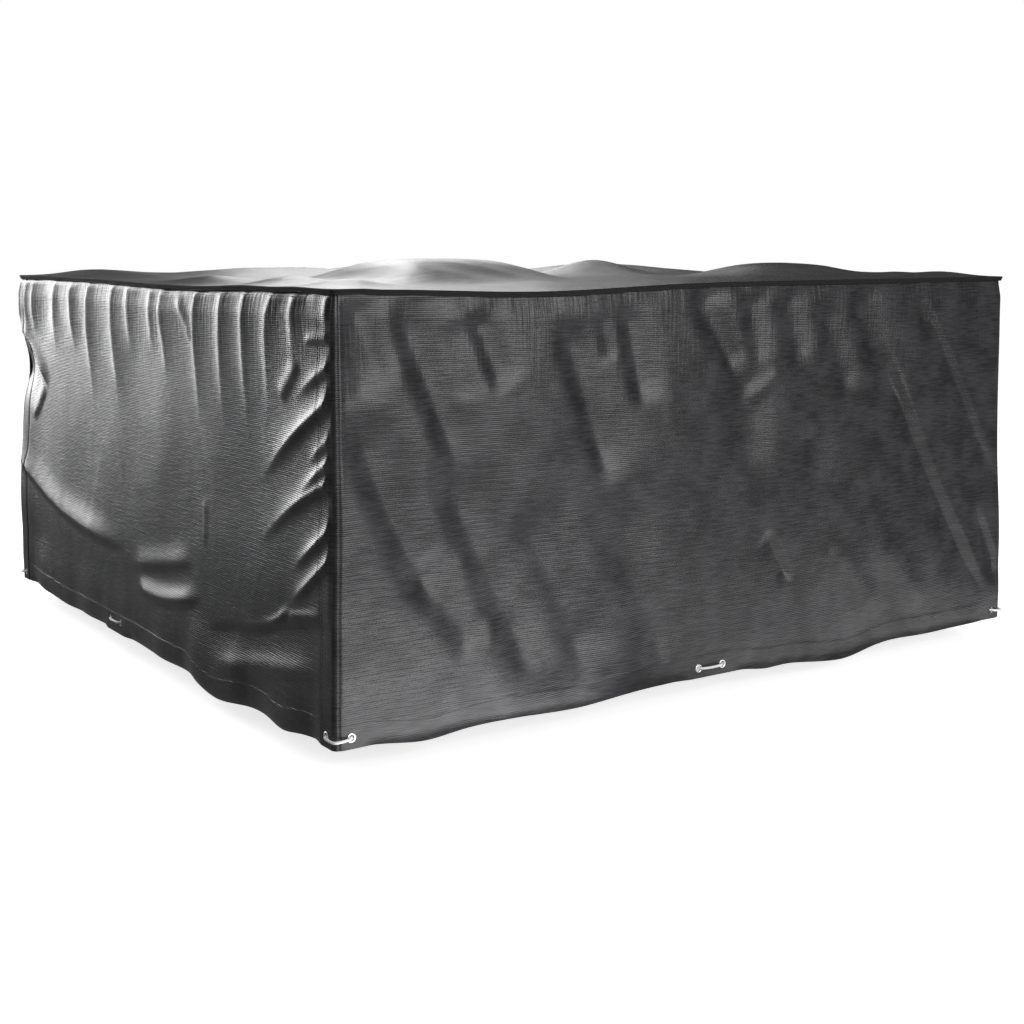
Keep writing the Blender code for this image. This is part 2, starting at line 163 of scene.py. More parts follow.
def unit(vectors: np.ndarray) -> np.ndarray:
    """The vectors in the last axis, made one long."""
    return vectors / np.maximum(np.linalg.norm(vectors, axis=-1, keepdims=True), TINY)


def turned(points: np.ndarray, degrees: float) -> np.ndarray:
    """The points turned about +Z by an angle, anticlockwise from above."""
    cos, sin = math.cos(math.radians(degrees)), math.sin(math.radians(degrees))
    x, y, z = points[..., 0], points[..., 1], points[..., 2]
    return np.stack([x * cos - y * sin, x * sin + y * cos, z], axis=-1)


def round_angles(count: int) -> np.ndarray:
    """Angles evenly round a circle, from 0."""
    return np.arange(count) * 2.0 * math.pi / count


def around(first: np.ndarray, second: np.ndarray, angle: np.ndarray) -> np.ndarray:
    """Unit vectors round a circle: first times the angle's cosine, plus second times its sine.

    Args:
        first: The way at an angle of 0, one vector or rows of them.
        second: The way a quarter turn on.
        angle: The angles.

    Returns:
        A vector for each row and angle.
    """
    return first[..., None, :] * np.cos(angle)[:, None] + second[..., None, :] * np.sin(angle)[:, None]


def linear_colour(hex_colour: str) -> tuple[float, float, float, float]:
    """An sRGB hex colour as linear red, green, blue and an alpha of 1.

    Args:
        hex_colour: Six hex digits.

    Returns:
        The linear colour.
    """
    values = [int(hex_colour[i : i + 2], 16) / 255.0 for i in (0, 2, 4)]
    red, green, blue = (v / 12.92 if v <= 0.04045 else ((v + 0.055) / 1.055) ** 2.4 for v in values)
    return red, green, blue, 1.0


# -------------------------------------------------------------------------------------------------- meshes


def mesh_object(
    name: str,
    points: np.ndarray,
    faces: np.ndarray,
    flat: np.ndarray | None = None,
    values: dict[str, np.ndarray] | None = None,
) -> bpy.types.Object:
    """A smooth-shaded mesh object at the origin.

    Args:
        name: The piece's name.
        points: Every vertex, as rows of x, y and z.
        faces: Every four-sided face, as rows of vertex numbers. A triangle repeats its last number.
        flat: Each vertex's place on the flat cloth, in metres, which becomes the UV map.
        values: Named numbers for each vertex.

    Returns:
        The object, in the scene.
    """
    faces = np.asarray(faces).reshape(-1, 4)
    counts = np.where(faces[:, 2] == faces[:, 3], 3, 4)
    corners = faces[np.arange(4) < counts[:, None]]
    mesh = bpy.data.meshes.new(name)
    mesh.vertices.add(len(points))
    mesh.vertices.foreach_set("co", np.ascontiguousarray(points, np.float32).ravel())
    mesh.loops.add(len(corners))
    mesh.loops.foreach_set("vertex_index", corners.astype(np.int32))
    mesh.polygons.add(len(faces))
    mesh.polygons.foreach_set("loop_start", (np.cumsum(counts) - counts).astype(np.int32))
    if flat is not None:
        layer = mesh.uv_layers.new(name="flat cloth")
        layer.data.foreach_set("uv", np.ascontiguousarray(flat[corners], np.float32).ravel())
    for key, numbers in (values or {}).items():
        mesh.attributes.new(key, "FLOAT", "POINT").data.foreach_set("value", numbers.astype(np.float32))
    mesh.update(calc_edges=True)
    mesh.validate()
    mesh.shade_smooth()
    made = bpy.data.objects.new(name, mesh)
    bpy.context.scene.collection.objects.link(made)
    return made


def grid_faces(rows: int, columns: int, wrap_rows: bool = False, wrap_columns: bool = False) -> np.ndarray:
    """The faces of a grid of vertices numbered row by row.

    Args:
        rows: How many rows.
        columns: How many columns.
        wrap_rows: True where the last row joins the first.
        wrap_columns: True where the last column joins the first.

    Returns:
        Rows of four vertex numbers.
    """
    row = np.arange(rows if wrap_rows else rows - 1)[:, None]
    column = np.arange(columns if wrap_columns else columns - 1)[None, :]
    below, right = (row + 1) % rows, (column + 1) % columns
    loop = [row * columns + column, below * columns + column, below * columns + right, row * columns + right]
    return np.stack(np.broadcast_arrays(*loop), axis=-1).reshape(-1, 4)


def tube_points(path: np.ndarray, radius: np.ndarray, sides: int) -> np.ndarray:
    """A tube round a path that never runs straight up: each path point plus radius times the way round it.

    Args:
        path: The path's points.
        radius: The tube's radius for each path point and side.
        sides: How many points go round.

    Returns:
        Points by path point and side.
    """
    forward = unit(np.gradient(path, axis=0))
    aside = unit(np.cross(UP, forward))
    way = around(aside, np.cross(forward, aside), round_angles(sides))
    return path[:, None, :] + way * radius[..., None]


def smooth_route(points: np.ndarray, steps: int) -> np.ndarray:
    """A Catmull-Rom curve through a list of points, with straight ends.

    Args:
        points: The route's own points.
        steps: How many points each stretch gets.

    Returns:
        The curve's points.
    """
    padded = np.vstack([2.0 * points[0] - points[1], points, 2.0 * points[-1] - points[-2]])
    before, start, end, after = (padded[i : len(padded) - 3 + i, None, :] for i in range(4))
    share = (np.arange(steps) / steps)[None, :, None]
    slope = end - before
    bend = 2.0 * before - 5.0 * start + 4.0 * end - after
    twist = 3.0 * start - before - 3.0 * end + after
    curve = start + 0.5 * share * (slope + share * (bend + share * twist))
    return np.vstack([curve.reshape(-1, points.shape[1]), points[-1:]])


def cap_faces(ring: np.ndarray, centre: int) -> np.ndarray:
    """Triangles that close a ring of vertices, each from two neighbours to a vertex at the centre.

    Args:
        ring: The ring's vertex numbers, anticlockwise as seen from outside.
        centre: The centre's vertex number.

    Returns:
        Rows of four vertex numbers, the centre's twice.
    """
    middle = np.full(len(ring), centre)
    return np.stack([ring, np.roll(ring, -1), middle, middle], axis=-1)


def thickened(sheet: bpy.types.Object, thickness: float) -> bpy.types.Object:
    """Gives a sheet its thickness, inwards from its outer face.

    Args:
        sheet: The sheet's outer face.
        thickness: Its thickness.

    Returns:
        The same sheet.
    """
    layer = sheet.modifiers.new("thickness", "SOLIDIFY")
    layer.thickness = thickness
    layer.offset = -1.0
    return sheet


def apply_modifiers(piece: bpy.types.Object) -> None:
    """Puts what the piece's modifiers make into its mesh, and removes them.

    Args:
        piece: The piece.
    """
    graph = bpy.context.evaluated_depsgraph_get()
    shaped = piece.evaluated_get(graph)
    mesh = bpy.data.meshes.new_from_object(shaped, preserve_all_data_layers=True, depsgraph=graph)
    piece.modifiers.clear()
    piece.data = mesh


# ------------------------------------------------------------------------------------------------ finishes


def add_node(
    tree: bpy.types.NodeTree, kind: str, inputs: dict | None = None, **settings: object
) -> bpy.types.Node:
    """Adds a shader node with its settings, its numbers and its links.

    Args:
        tree: The tree that gets the node.
        kind: The node's Blender type.
        inputs: By socket name or number, either a value or the output socket to link from.
        **settings: The node's own properties.

    Returns:
        The node.
    """
    node = tree.nodes.new(kind)
    for key, value in settings.items():
        setattr(node, key, value)
    for key, value in (inputs or {}).items():
        if isinstance(value, bpy.types.NodeSocket):
            tree.links.new(value, node.inputs[key])
        else:
            node.inputs[key].default_value = value
    return node


def maths(tree: bpy.types.NodeTree, operation: str, *values: object) -> bpy.types.NodeSocket:
    """The outcome of a maths node on its values in order."""
    return add_node(tree, "ShaderNodeMath", dict(enumerate(values)), operation=operation).outputs[0]


def noise(tree: bpy.types.NodeTree, place: bpy.types.NodeSocket, size: float) -> bpy.types.NodeSocket:
    """Noise with spots of a size."""
    return add_node(tree, "ShaderNodeTexNoise", {"Vector": place, "Scale": 1.0 / size}).outputs["Fac"]


def ranged(
    tree: bpy.types.NodeTree,
    value: bpy.types.NodeSocket,
    into: tuple[float, float] = (0.0, 1.0),
    out_of: tuple[float, float] = (0.0, 1.0),
) -> bpy.types.NodeSocket:
    """A value moved from one range into another, and clamped."""
    return add_node(tree, "ShaderNodeMapRange", dict(enumerate((value, *out_of, *into)))).outputs[0]


def blended(
    tree: bpy.types.NodeTree, share: bpy.types.NodeSocket, first: object, second: object
) -> bpy.types.NodeSocket:
    """A colour that goes from the first to the second with the share."""
    return add_node(tree, "ShaderNodeMix", {0: share, 6: first, 7: second}, data_type="RGBA").outputs[2]


def bumped(tree: bpy.types.NodeTree, **inputs: object) -> bpy.types.NodeSocket:
    """The normal out of a bump node."""
    return add_node(tree, "ShaderNodeBump", inputs).outputs[0]


@dataclass(frozen=True)
class Finish:
    """A surface finish. Each kind paints its own nodes."""

    name: str

    def material(self) -> bpy.types.Material:
        """The finish as a new material."""
        made = bpy.data.materials.new(self.name)
        made.use_nodes = True
        tree = made.node_tree
        self.paint(tree, tree.nodes["Principled BSDF"])
        return made

    def paint(self, tree: bpy.types.NodeTree, shader: bpy.types.Node) -> None:
        """Sets the shader and adds the nodes that feed it."""
        raise NotImplementedError


@dataclass(frozen=True)
class CoatedTapeWeave(Finish):
    """Polyethylene tape, woven and then coated on both faces: black, with a plastic gloss.

    The coating gives sharp glints on creases and a broad sheen at flat angles. Under it the tapes show as
    fine level ribs, with painted sheen in streaks along them. A real tape is 2.3 mm wide. It is drawn wider,
    because it would not show. The margin round the top is painted near black as painted shade, and made
    rougher.
    """

    dark: str = "252527"
    light: str = "3d3d3f"
    tape: float = 4.2 * MILLIMETRE
    tape_height: float = 0.24 * MILLIMETRE
    rib_length: float = 45.0 * MILLIMETRE
    rib_height: float = 0.45 * MILLIMETRE
    patch: float = 75.0 * MILLIMETRE
    crinkle: float = 26.0 * MILLIMETRE
    crinkle_height: float = 0.16 * MILLIMETRE
    pleat: float = 9.0 * MILLIMETRE
    pleat_height: float = 0.8 * MILLIMETRE
    pleat_stretch: float = 12.0
    roughness: float = 0.31
    roughness_change: float = 0.03
    # The top panel's margin gets painted shade, this near black colour, and this higher roughness.
    margin_painted_shade: str = "0c0c0d"
    margin_shade_roughness: float = 0.85
    # How much ribs and patches count in the colour, and what share of the ribs' height patches leave. The
    # patches are random tone, and the ribs' streaks are painted sheen.
    rib_share: float = 0.8
    patch_share: float = 0.9
    shade_range: tuple[float, float] = (0.6, 1.1)
    patch_range: tuple[float, float] = (0.25, 0.75)
    rib_strength: tuple[float, float] = (0.4, 1.0)

    def paint(self, tree: bpy.types.NodeTree, shader: bpy.types.Node) -> None:
        """Draws the weave, its uneven ribs, patches and small creases from the flat cloth's own map.

        Args:
            tree: The material's nodes.
            shader: Its Principled BSDF.
        """
        flat = add_node(tree, "ShaderNodeUVMap", uv_map="flat cloth").outputs["UV"]
        across_down = add_node(tree, "ShaderNodeSeparateXYZ", {0: flat}).outputs

        def spots(across: float, down: float, detail: float, **settings: str) -> bpy.types.NodeSocket:
            """Noise whose spots have the given two sizes on the flat cloth."""
            scale = (1.0 / across, 1.0 / down, 1.0)
            place = add_node(tree, "ShaderNodeMapping", {"Vector": flat, "Scale": scale}).outputs[0]
            inputs = {"Vector": place, "Scale": 1.0, "Detail": detail}
            made = add_node(tree, "ShaderNodeTexNoise", inputs, noise_dimensions="2D", **settings)
            return made.outputs["Fac"]

        def kept(name: str) -> bpy.types.NodeSocket:
            """A number that the mesh keeps for each vertex."""
            return add_node(tree, "ShaderNodeAttribute", attribute_name=name).outputs["Fac"]

        turn = maths(tree, "MULTIPLY", across_down["Y"], math.pi / self.tape)
        weft = maths(tree, "ABSOLUTE", maths(tree, "SINE", turn))
        rib = spots(self.rib_length, self.tape, 1.0)
        patch = spots(self.patch, self.patch, 1.5)
        crinkle = spots(self.crinkle, self.crinkle, 3.0, noise_type="RIDGED_MULTIFRACTAL")
        pleat = spots(self.pleat, self.pleat_stretch * self.pleat, 2.0)
        margin_painted_shade = kept("margin_painted_shade")

        # The colour's streaks along the ribs are painted sheen, and its patches are random tone.
        shade = maths(tree, "MULTIPLY_ADD", rib, self.rib_share, 0.0)
        shade = maths(tree, "MULTIPLY_ADD", patch, self.patch_share, shade)
        shade = ranged(tree, shade, out_of=self.shade_range)
        colour = blended(tree, shade, linear_colour(self.dark), linear_colour(self.light))
        # Painted shade: the top panel's margin is coloured near black.
        colour = blended(tree, margin_painted_shade, colour, linear_colour(self.margin_painted_shade))
        rough, change = self.roughness, self.roughness_change
        gloss = ranged(tree, patch, (rough + change, rough - change))
        gloss = add_node(tree, "ShaderNodeMix", {0: margin_painted_shade, 2: gloss, 3: self.margin_shade_roughness}).outputs[0]

        strength = ranged(tree, patch, self.rib_strength, self.patch_range)
        bump = bumped(tree, Distance=self.tape_height, Height=weft)
        bump = bumped(tree, Distance=self.rib_height, Height=rib, Strength=strength, Normal=bump)
        bump = bumped(tree, Distance=self.crinkle_height, Height=crinkle, Normal=bump)
        bump = bumped(tree, Distance=self.pleat_height, Height=pleat, Strength=kept("gather"), Normal=bump)

        tree.links.new(colour, shader.inputs["Base Color"])
        tree.links.new(gloss, shader.inputs["Roughness"])
        tree.links.new(bump, shader.inputs["Normal"])


@dataclass(frozen=True)
class StampedAluminium(Finish):
    """Aluminium, stamped and rolled: bright, with fine rings of tool marks and a little dulling."""

    colour: str = "f4f4f2"
    roughness: float = 0.30
    dulling: float = 0.16
    mark: float = 0.5 * MILLIMETRE
    mark_depth: float = 0.03 * MILLIMETRE

    def paint(self, tree: bpy.types.NodeTree, shader: bpy.types.Node) -> None:
        """Fine noise in the object's own space roughens and dents the metal.

        Args:
            tree: The material's nodes.
            shader: Its Principled BSDF.
        """
        place = add_node(tree, "ShaderNodeTexCoord").outputs["Object"]
        marks = noise(tree, place, self.mark)
        dull = ranged(tree, marks, (self.roughness, self.roughness + self.dulling))
        shader.inputs["Base Color"].default_value = linear_colour(self.colour)
        shader.inputs["Metallic"].default_value = 1.0
        tree.links.new(dull, shader.inputs["Roughness"])
        tree.links.new(bumped(tree, Distance=self.mark_depth, Height=marks), shader.inputs["Normal"])


@dataclass(frozen=True)
class BraidedPolypropylene(Finish):
    """White polypropylene cord, braided: slightly shiny strands, with painted shade, a soft grey, between
    them.
    """

    white: str = "fafaf8"
    # The soft grey painted between the strands as painted shade.
    grey: str = "c4c4c0"
    fibre: float = 0.25 * MILLIMETRE
    fibre_height: float = 0.1 * MILLIMETRE
    roughness: float = 0.55

    def paint(self, tree: bpy.types.NodeTree, shader: bpy.types.Node) -> None:
        """The strands' height, kept on the mesh, paints shade, a soft grey, into the grooves between them,
        and fibre noise roughens them.

        Args:
            tree: The material's nodes.
            shader: Its Principled BSDF.
        """
        strand = add_node(tree, "ShaderNodeAttribute", attribute_name="strand").outputs["Fac"]
        place = add_node(tree, "ShaderNodeTexCoord").outputs["Object"]
        # Painted shade: grey where the strands sink between each other, white on their crowns.
        colour = blended(tree, strand, linear_colour(self.grey), linear_colour(self.white))
        bump = bumped(tree, Distance=self.fibre_height, Height=noise(tree, place, self.fibre))
        shader.inputs["Roughness"].default_value = self.roughness
        tree.links.new(colour, shader.inputs["Base Color"])
        tree.links.new(bump, shader.inputs["Normal"])


@dataclass(frozen=True)
class PolyesterThread(Finish):
    """Black polyester sewing thread: a dull shine on two twisted plies."""

    colour: str = "262628"
    ply: float = 0.9 * MILLIMETRE
    roughness: tuple[float, float] = (0.45, 0.65)

    def paint(self, tree: bpy.types.NodeTree, shader: bpy.types.Node) -> None:
        """Bands in the object's own space stand for the twist.

        Args:
            tree: The material's nodes.
            shader: Its Principled BSDF.
        """
        place = add_node(tree, "ShaderNodeTexCoord").outputs["Object"]
        inputs = {"Vector": place, "Scale": math.pi / (10.0 * self.ply)}
        twist = add_node(tree, "ShaderNodeTexWave", inputs, bands_direction="DIAGONAL").outputs["Fac"]
        tree.links.new(ranged(tree, twist, self.roughness), shader.inputs["Roughness"])
        shader.inputs["Base Color"].default_value = linear_colour(self.colour)


# ---------------------------------------------------------------------------------------- the cloth's shape


@dataclass(frozen=True)
class Crease:
    """One crease on a bent line, as three points of along and z. It stands out where its height is above 0.

    The half-width of its section differs on the right and the left hand of someone who walks the line from
    its start, so that one flank is gentle and the other steep. A crisp section is e to the minus distance
    over half-width.
    """

    start: tuple[float, float]
    middle: tuple[float, float]
    end: tuple[float, float]
    height: float
    right: float
    left: float
    fading: Fading = Fading.BOTH_ENDS
    section: Section = Section.SOFT

    POINTS = 13
    # Shares of the way: over which both ends fade, and how far a crease at a seam keeps its full height.
    FADE = 0.24
    KEPT = 0.35
    OPENING = 0.6  # how much a crease at a seam widens on its way
    TIP = 0.003  # the rounding of a crisp section

    def height_at(self, along: np.ndarray, z: np.ndarray) -> np.ndarray:
        """The crease's height: a bell of the distance to the nearest point of its line, times its fading.

        The line is the parabola through the three points. A crease that starts at a seam opens as it goes.

        Args:
            along: Places along the panel.
            z: Heights on the panel.

        Returns:
            How far the crease pushes each point out.
        """
        share = np.linspace(0.0, 1.0, self.POINTS)[:, None]
        start, middle, end = (np.array(p) for p in (self.start, self.middle, self.end))
        pull = 2.0 * middle - (start + end) / 2.0
        line = start * (1.0 - share) ** 2 + pull * 2.0 * share * (1.0 - share) + end * share**2
        nearest = np.full(along.shape, np.inf)
        width = np.full(along.shape, self.right)
        travelled = np.zeros(along.shape)
        for index in range(self.POINTS - 1):
            step = line[index + 1] - line[index]
            off_along, off_z = along - line[index, 0], z - line[index, 1]
            part = np.clip((off_along * step[0] + off_z * step[1]) / (step @ step), 0.0, 1.0)
            distance = np.hypot(off_along - part * step[0], off_z - part * step[1])
            on_left = step[0] * off_z - step[1] * off_along > 0.0
            closer = distance < nearest
            nearest = np.where(closer, distance, nearest)
            width = np.where(closer, np.where(on_left, self.left, self.right), width)
            travelled = np.where(closer, (index + part) / (self.POINTS - 1), travelled)
        if self.fading is Fading.FAR_END:
            strength = 1.0 - smooth_step((travelled - self.KEPT) / (1.0 - self.KEPT))
            width = width * (1.0 - self.OPENING / 2.0 + self.OPENING * travelled)
        else:
            strength = smooth_step(travelled / self.FADE) * smooth_step((1.0 - travelled) / self.FADE)
        if self.section is Section.CRISP:
            return self.height * strength * np.exp((self.TIP - np.hypot(nearest, self.TIP)) / width)
        return self.height * strength * bell(nearest, width)


@dataclass(frozen=True)
class Bulge:
    """Where a hem hangs lower than its straight line, or where a top edge sags."""

    along: float
    half_width: float
    drop: float


@dataclass(frozen=True)
class Hump:
    """A rounded rise of the top panel."""

    x: float
    y: float
    half_x: float
    half_y: float
    height: float
    power: float = 2.0

    def height_at(self, x: np.ndarray, y: np.ndarray) -> np.ndarray:
        """Height times e to the minus (distance / half)^power of each way. A high power is flatter."""
        way_x, way_y = np.abs((x - self.x) / self.half_x), np.abs((y - self.y) / self.half_y)
        return self.height * np.exp(-(way_x**self.power) - way_y**self.power)


def bulge_drop(bulges: tuple[Bulge, ...], along: np.ndarray) -> np.ndarray:
    """The sum of the bulges' bells at each place along."""
    return sum((b.drop * bell(along - b.along, b.half_width) for b in bulges), np.zeros_like(along))


@dataclass(frozen=True)
class CoverSizes:
    """The whole cover's sizes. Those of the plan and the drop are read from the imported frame."""

    half: float
    eyelet_level: float
    eyelet_above_hem: float = 0.023
    cloth: float = 0.0015
    gap: float = 0.0003
    hem: float = 0.053
    corner_radius: float = 0.008
    side_edge: float = 0.012
    flange: float = 0.060
    side_top: float = -0.006
    top_margin: float = 0.010
    top_bend: float = 0.002
    # The top lies a little high, and higher to the right and to the back: at its middle, per x and per y.
    top_tilt: tuple[float, float, float] = (0.008, 0.0055, 0.0045)
    far_corner_drop: float = 0.027
    pair_half_span: float = 0.036
    eyelet_from_corner: float = 0.036
    eyelet_outer: float = 0.010
    outline_z: tuple[float, ...] = (0.0, -0.10, -0.45, -0.74, -0.84, -1.0)
    outline_spread: tuple[float, ...] = (0.0, -0.001, -0.005, 0.002, 0.005, 0.005)

    @classmethod
    def from_frame(cls) -> CoverSizes:
        """Reads the half-width from the top panel and the eyelets' level from one of them."""
        low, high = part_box("eyelet_front_a")
        return cls(half=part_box("top_panel")[1].x, eyelet_level=(low.z + high.z) / 2.0)

    @property
    def drop(self) -> float:
        """From the level that the cover rests on down to the hem's straight line."""
        return self.eyelet_above_hem - self.eyelet_level

    @property
    def lap(self) -> float:
        """From one layer's outer face to the next layer's."""
        return self.cloth + self.gap

    def top_lift(self, x: np.ndarray, y: np.ndarray) -> np.ndarray:
        """How high the top lies: a tilted plane, less a drop by (x y)^2 in the back right quarter.

        Args:
            x: Places in plan.
            y: Places in plan.

        Returns:
            Heights in metres.
        """
        plane = self.top_tilt[0] + self.top_tilt[1] * x + self.top_tilt[2] * y
        return plane - self.far_corner_drop * (np.maximum(x, 0.0) * np.maximum(y, 0.0)) ** 2

    def growth(self, z: np.ndarray) -> np.ndarray:
        """How many times the plan grows at each height, smoothly from row to row of the outline.

        Args:
            z: Heights.

        Returns:
            The factors, near 1.
        """
        heights, spreads = np.array(self.outline_z), np.array(self.outline_spread)
        row = np.interp(-z, -heights, np.arange(len(heights)))
        whole = np.minimum(row.astype(int), len(heights) - 2)
        blend = smooth_step(row - whole)
        return 1.0 + spreads[whole] * (1.0 - blend) + spreads[whole + 1] * blend


@dataclass
class SidePanel:
    """One hanging side of the cover: a sheet with its creases, hem and, if wrapped, its two end flanges."""

    name: str
    turn: int
    wrapped: bool
    sizes: CoverSizes
    creases: tuple[Crease, ...]
    hem_bulges: tuple[Bulge, ...]
    top_sag: tuple[Bulge, ...]
    pair_along: float
    seed: int
    columns: int = 300
    body_rows: int = 118
    hem_rows: int = 15
    near_hand: int = -1
    spread: float = 0.40
    corner_bends: dict[int, tuple[Bulge, ...]] = field(default_factory=dict)
    neighbours: dict[int, SidePanel] = field(default_factory=dict)

    # The upright corner: its rounding, how far its own bends reach, and the groove beside its seam.
    ROUNDING = 0.016
    BEND_REACH = 0.110
    SEAM_PLACE = 0.010
    SEAM_DEPTH = 0.0022
    SEAM_WIDTH = 0.0032
    # How far the creases stay from a corner, and over what distances they fade towards what holds the cloth.
    CORNER_STILL = 0.014
    CORNER_FADE = 0.010
    SEAM_FADE = 0.050
    TOP_FADE = 0.010
    HEM_FADE = 0.100
    PAIR_FADE = 0.060
    EYELET_CLEAR = 1.6  # in eyelet radii
    # The top seam's pull and how far down it is felt, with the noise that makes it uneven.
    PINCH = 0.0045
    PINCH_REACH = 0.050
    PINCH_SPAN = (1.35, 0.5)
    PINCH_CELL = (0.04, 1.0)
    PINCH_LINE = 0.40  # where in its noise it runs
    GATHER_REACH = 0.33
    # How a plain panel rises beyond the flange that laps it.
    EDGE_RISE = 0.0015
    EDGE_REACH = 0.002
    # The hem: its doubled cloth's step, its edge's curl, and how it flutters.
    HEM_STEP = 0.0007
    STEP_REACH = 0.003
    HEM_CURL = 0.008
    CURL_REACH = 0.030
    FLUTTER = 0.016
    FLUTTER_CELL = (0.19, 1.0)
    FLUTTER_LINE = 0.31  # where in its noise it runs
    FLUTTER_REACH = 0.22
    # The cloth's unevenness: the spacings of each noise, along and down, and its height or its shift.
    BROAD_CELL, BROAD_HEIGHT = (0.26, 0.34), 0.006
    SHIFT_CELL, SHIFT = (0.20, 0.20), 0.05
    FOLD_CELL, FOLD_LEAN, FOLD_HEIGHT = (0.085, 0.160), 0.35, 0.0022
    SMALL_CELL, SMALL_LEAN, SMALL_HEIGHT = (0.038, 0.050), 0.40, 0.0007
    PATCH_CELL, PATCH_EDGE = (0.22, 0.18), 1.6
    # The grid: columns round a bend and over a flange, rows across the hem's step, and the line by an edge.
    BEND_COLUMNS = 8
    FLANGE_COLUMNS = 10
    STEP_ROWS = (0.0012, 0.0024, 0.0040)
    EDGE_LINE = 0.0004
    NEARBY = 0.0015  # how far apart two points are that show the way along the face

    @property
    def half_along(self) -> float:
        """Half the panel's face, from corner to corner."""
        return self.sizes.half - self.sizes.lap

    @property
    def plane(self) -> float:
        """How far the outer face stands from the middle. A plain panel lies under the wrapped ones."""
        return self.sizes.half - self.sizes.lap * (1 if self.wrapped else 2)

    @property
    def bend_start(self) -> float:
        """Where the face ends and the corner's bend starts."""
        return self.half_along - self.ROUNDING

    @property
    def bend_length(self) -> float:
        """The length of the bend's quarter circle."""
        return self.ROUNDING * math.pi / 2.0

    @property
    def reach(self) -> float:
        """Half the panel's whole width, flanges counted."""
        if not self.wrapped:
            return self.half_along - self.sizes.side_edge
        return self.bend_start + self.bend_length + self.sizes.flange - self.ROUNDING

    @property
    def flat_size(self) -> tuple[float, float]:
        """The sheet as cut: its whole width, and its height with the hem turned up."""
        return 2.0 * self.reach, self.sizes.drop + self.sizes.side_top + self.sizes.hem

    def seam_fade(self, along: np.ndarray) -> np.ndarray:
        """1 over the face and 0 at the flanges, so that hem and top edge are level there."""
        inside = self.half_along - np.abs(along) - self.sizes.flange
        return smooth_step(inside / self.SEAM_FADE)

    def top_z(self, along: np.ndarray) -> np.ndarray:
        """The panel's upper edge, under the top panel's margin."""
        level = np.clip(along, -self.half_along, self.half_along)
        edge = turned(np.stack([level, np.full_like(level, -self.plane), level], axis=-1), self.turn)
        lift = self.sizes.top_lift(edge[..., 0], edge[..., 1])
        return self.sizes.side_top + lift - self.seam_fade(along) * bulge_drop(self.top_sag, along)

    def hem_z(self, along: np.ndarray) -> np.ndarray:
        """The panel's lower edge."""
        return -self.sizes.drop - self.seam_fade(along) * bulge_drop(self.hem_bulges, along)

    def wrinkles(self, along: np.ndarray, z: np.ndarray) -> np.ndarray:
        """The small unevenness of the cloth.

        Broad rolling noise, plus folded noise, which is the largest value minus its size and so has sharp
        crests, at two smaller spacings.

        Args:
            along: Places along the panel.
            z: Heights on the panel.

        Returns:
            Heights in metres.
        """
        broad = rolling_noise(along, z, self.BROAD_CELL, self.seed)
        bent = along + self.SHIFT * rolling_noise(along, z, self.SHIFT_CELL, self.seed + 1)
        leaning = bent + self.FOLD_LEAN * z
        folded = 0.5 - np.abs(rolling_noise(leaning, z, self.FOLD_CELL, self.seed + 2))
        across = z - self.SMALL_LEAN * along
        small = 0.5 - np.abs(rolling_noise(bent, across, self.SMALL_CELL, self.seed + 3))
        patch = rolling_noise(along, z, self.PATCH_CELL, self.seed + 4)
        fine = self.FOLD_HEIGHT * folded + self.SMALL_HEIGHT * small
        return self.BROAD_HEIGHT * broad + smooth_step(0.5 + self.PATCH_EDGE * patch) * fine

    def push(self, along: np.ndarray, z: np.ndarray) -> np.ndarray:
        """How far creases and wrinkles push the face out. Seams, the top edge and the eyelets stay still.

        Args:
            along: Places along the panel.
            z: Heights on the panel.

        Returns:
            Heights in metres.
        """
        height = self.wrinkles(along, z)
        for crease in self.creases:
            height = height + crease.height_at(along, z)
        below_top = self.below_margin(along, z) / self.TOP_FADE
        from_corner = (self.half_along - np.abs(along) - self.CORNER_STILL) / self.CORNER_FADE
        over_hem = (z - self.hem_z(along) - self.sizes.hem) / self.HEM_FADE
        held = self.near_eyelets(along) * (1.0 - smooth_step(over_hem))
        return height * smooth_step(below_top) * smooth_step(from_corner) * (1.0 - held)

    def below_margin(self, along: np.ndarray, z: np.ndarray) -> np.ndarray:
        """How far a point is below the edge of the top panel's margin."""
        return self.top_z(along) - (self.sizes.top_margin + self.sizes.side_top) - z

    def near_eyelets(self, along: np.ndarray) -> np.ndarray:
        """1 beside an eyelet, at the panel's pair and at its corners, and 0 away from them."""
        sizes = self.sizes
        pair = np.abs(along - self.pair_along) - sizes.pair_half_span
        corner = self.half_along - np.abs(along) - sizes.eyelet_from_corner
        distance = np.minimum(pair, corner) - self.EYELET_CLEAR * sizes.eyelet_outer
        return 1.0 - smooth_step(distance / self.PAIR_FADE)

    def hem_shape(self, along: np.ndarray, z: np.ndarray) -> np.ndarray:
        """The hem's doubled cloth stands out by a step, its edge curls in, and it flutters between eyelets.

        The curl is a parabola of the height over the hem's edge.

        Args:
            along: Places along the panel.
            z: Heights on the panel.

        Returns:
            Heights in metres.
        """
        above_edge = z - self.hem_z(along)
        free = 1.0 - self.near_eyelets(along)
        step = self.HEM_STEP * smooth_step((self.sizes.hem - above_edge) / self.STEP_REACH)
        curl = self.HEM_CURL * np.clip(1.0 - above_edge / self.CURL_REACH, 0.0, 1.0) ** 2
        low = 1.0 - smooth_step(above_edge / self.FLUTTER_REACH)
        wave = rolling_noise(along, np.full_like(along, self.FLUTTER_LINE), self.FLUTTER_CELL, self.seed + 6)
        return step * self.seam_fade(along) + free * (low * self.FLUTTER * wave - curl)

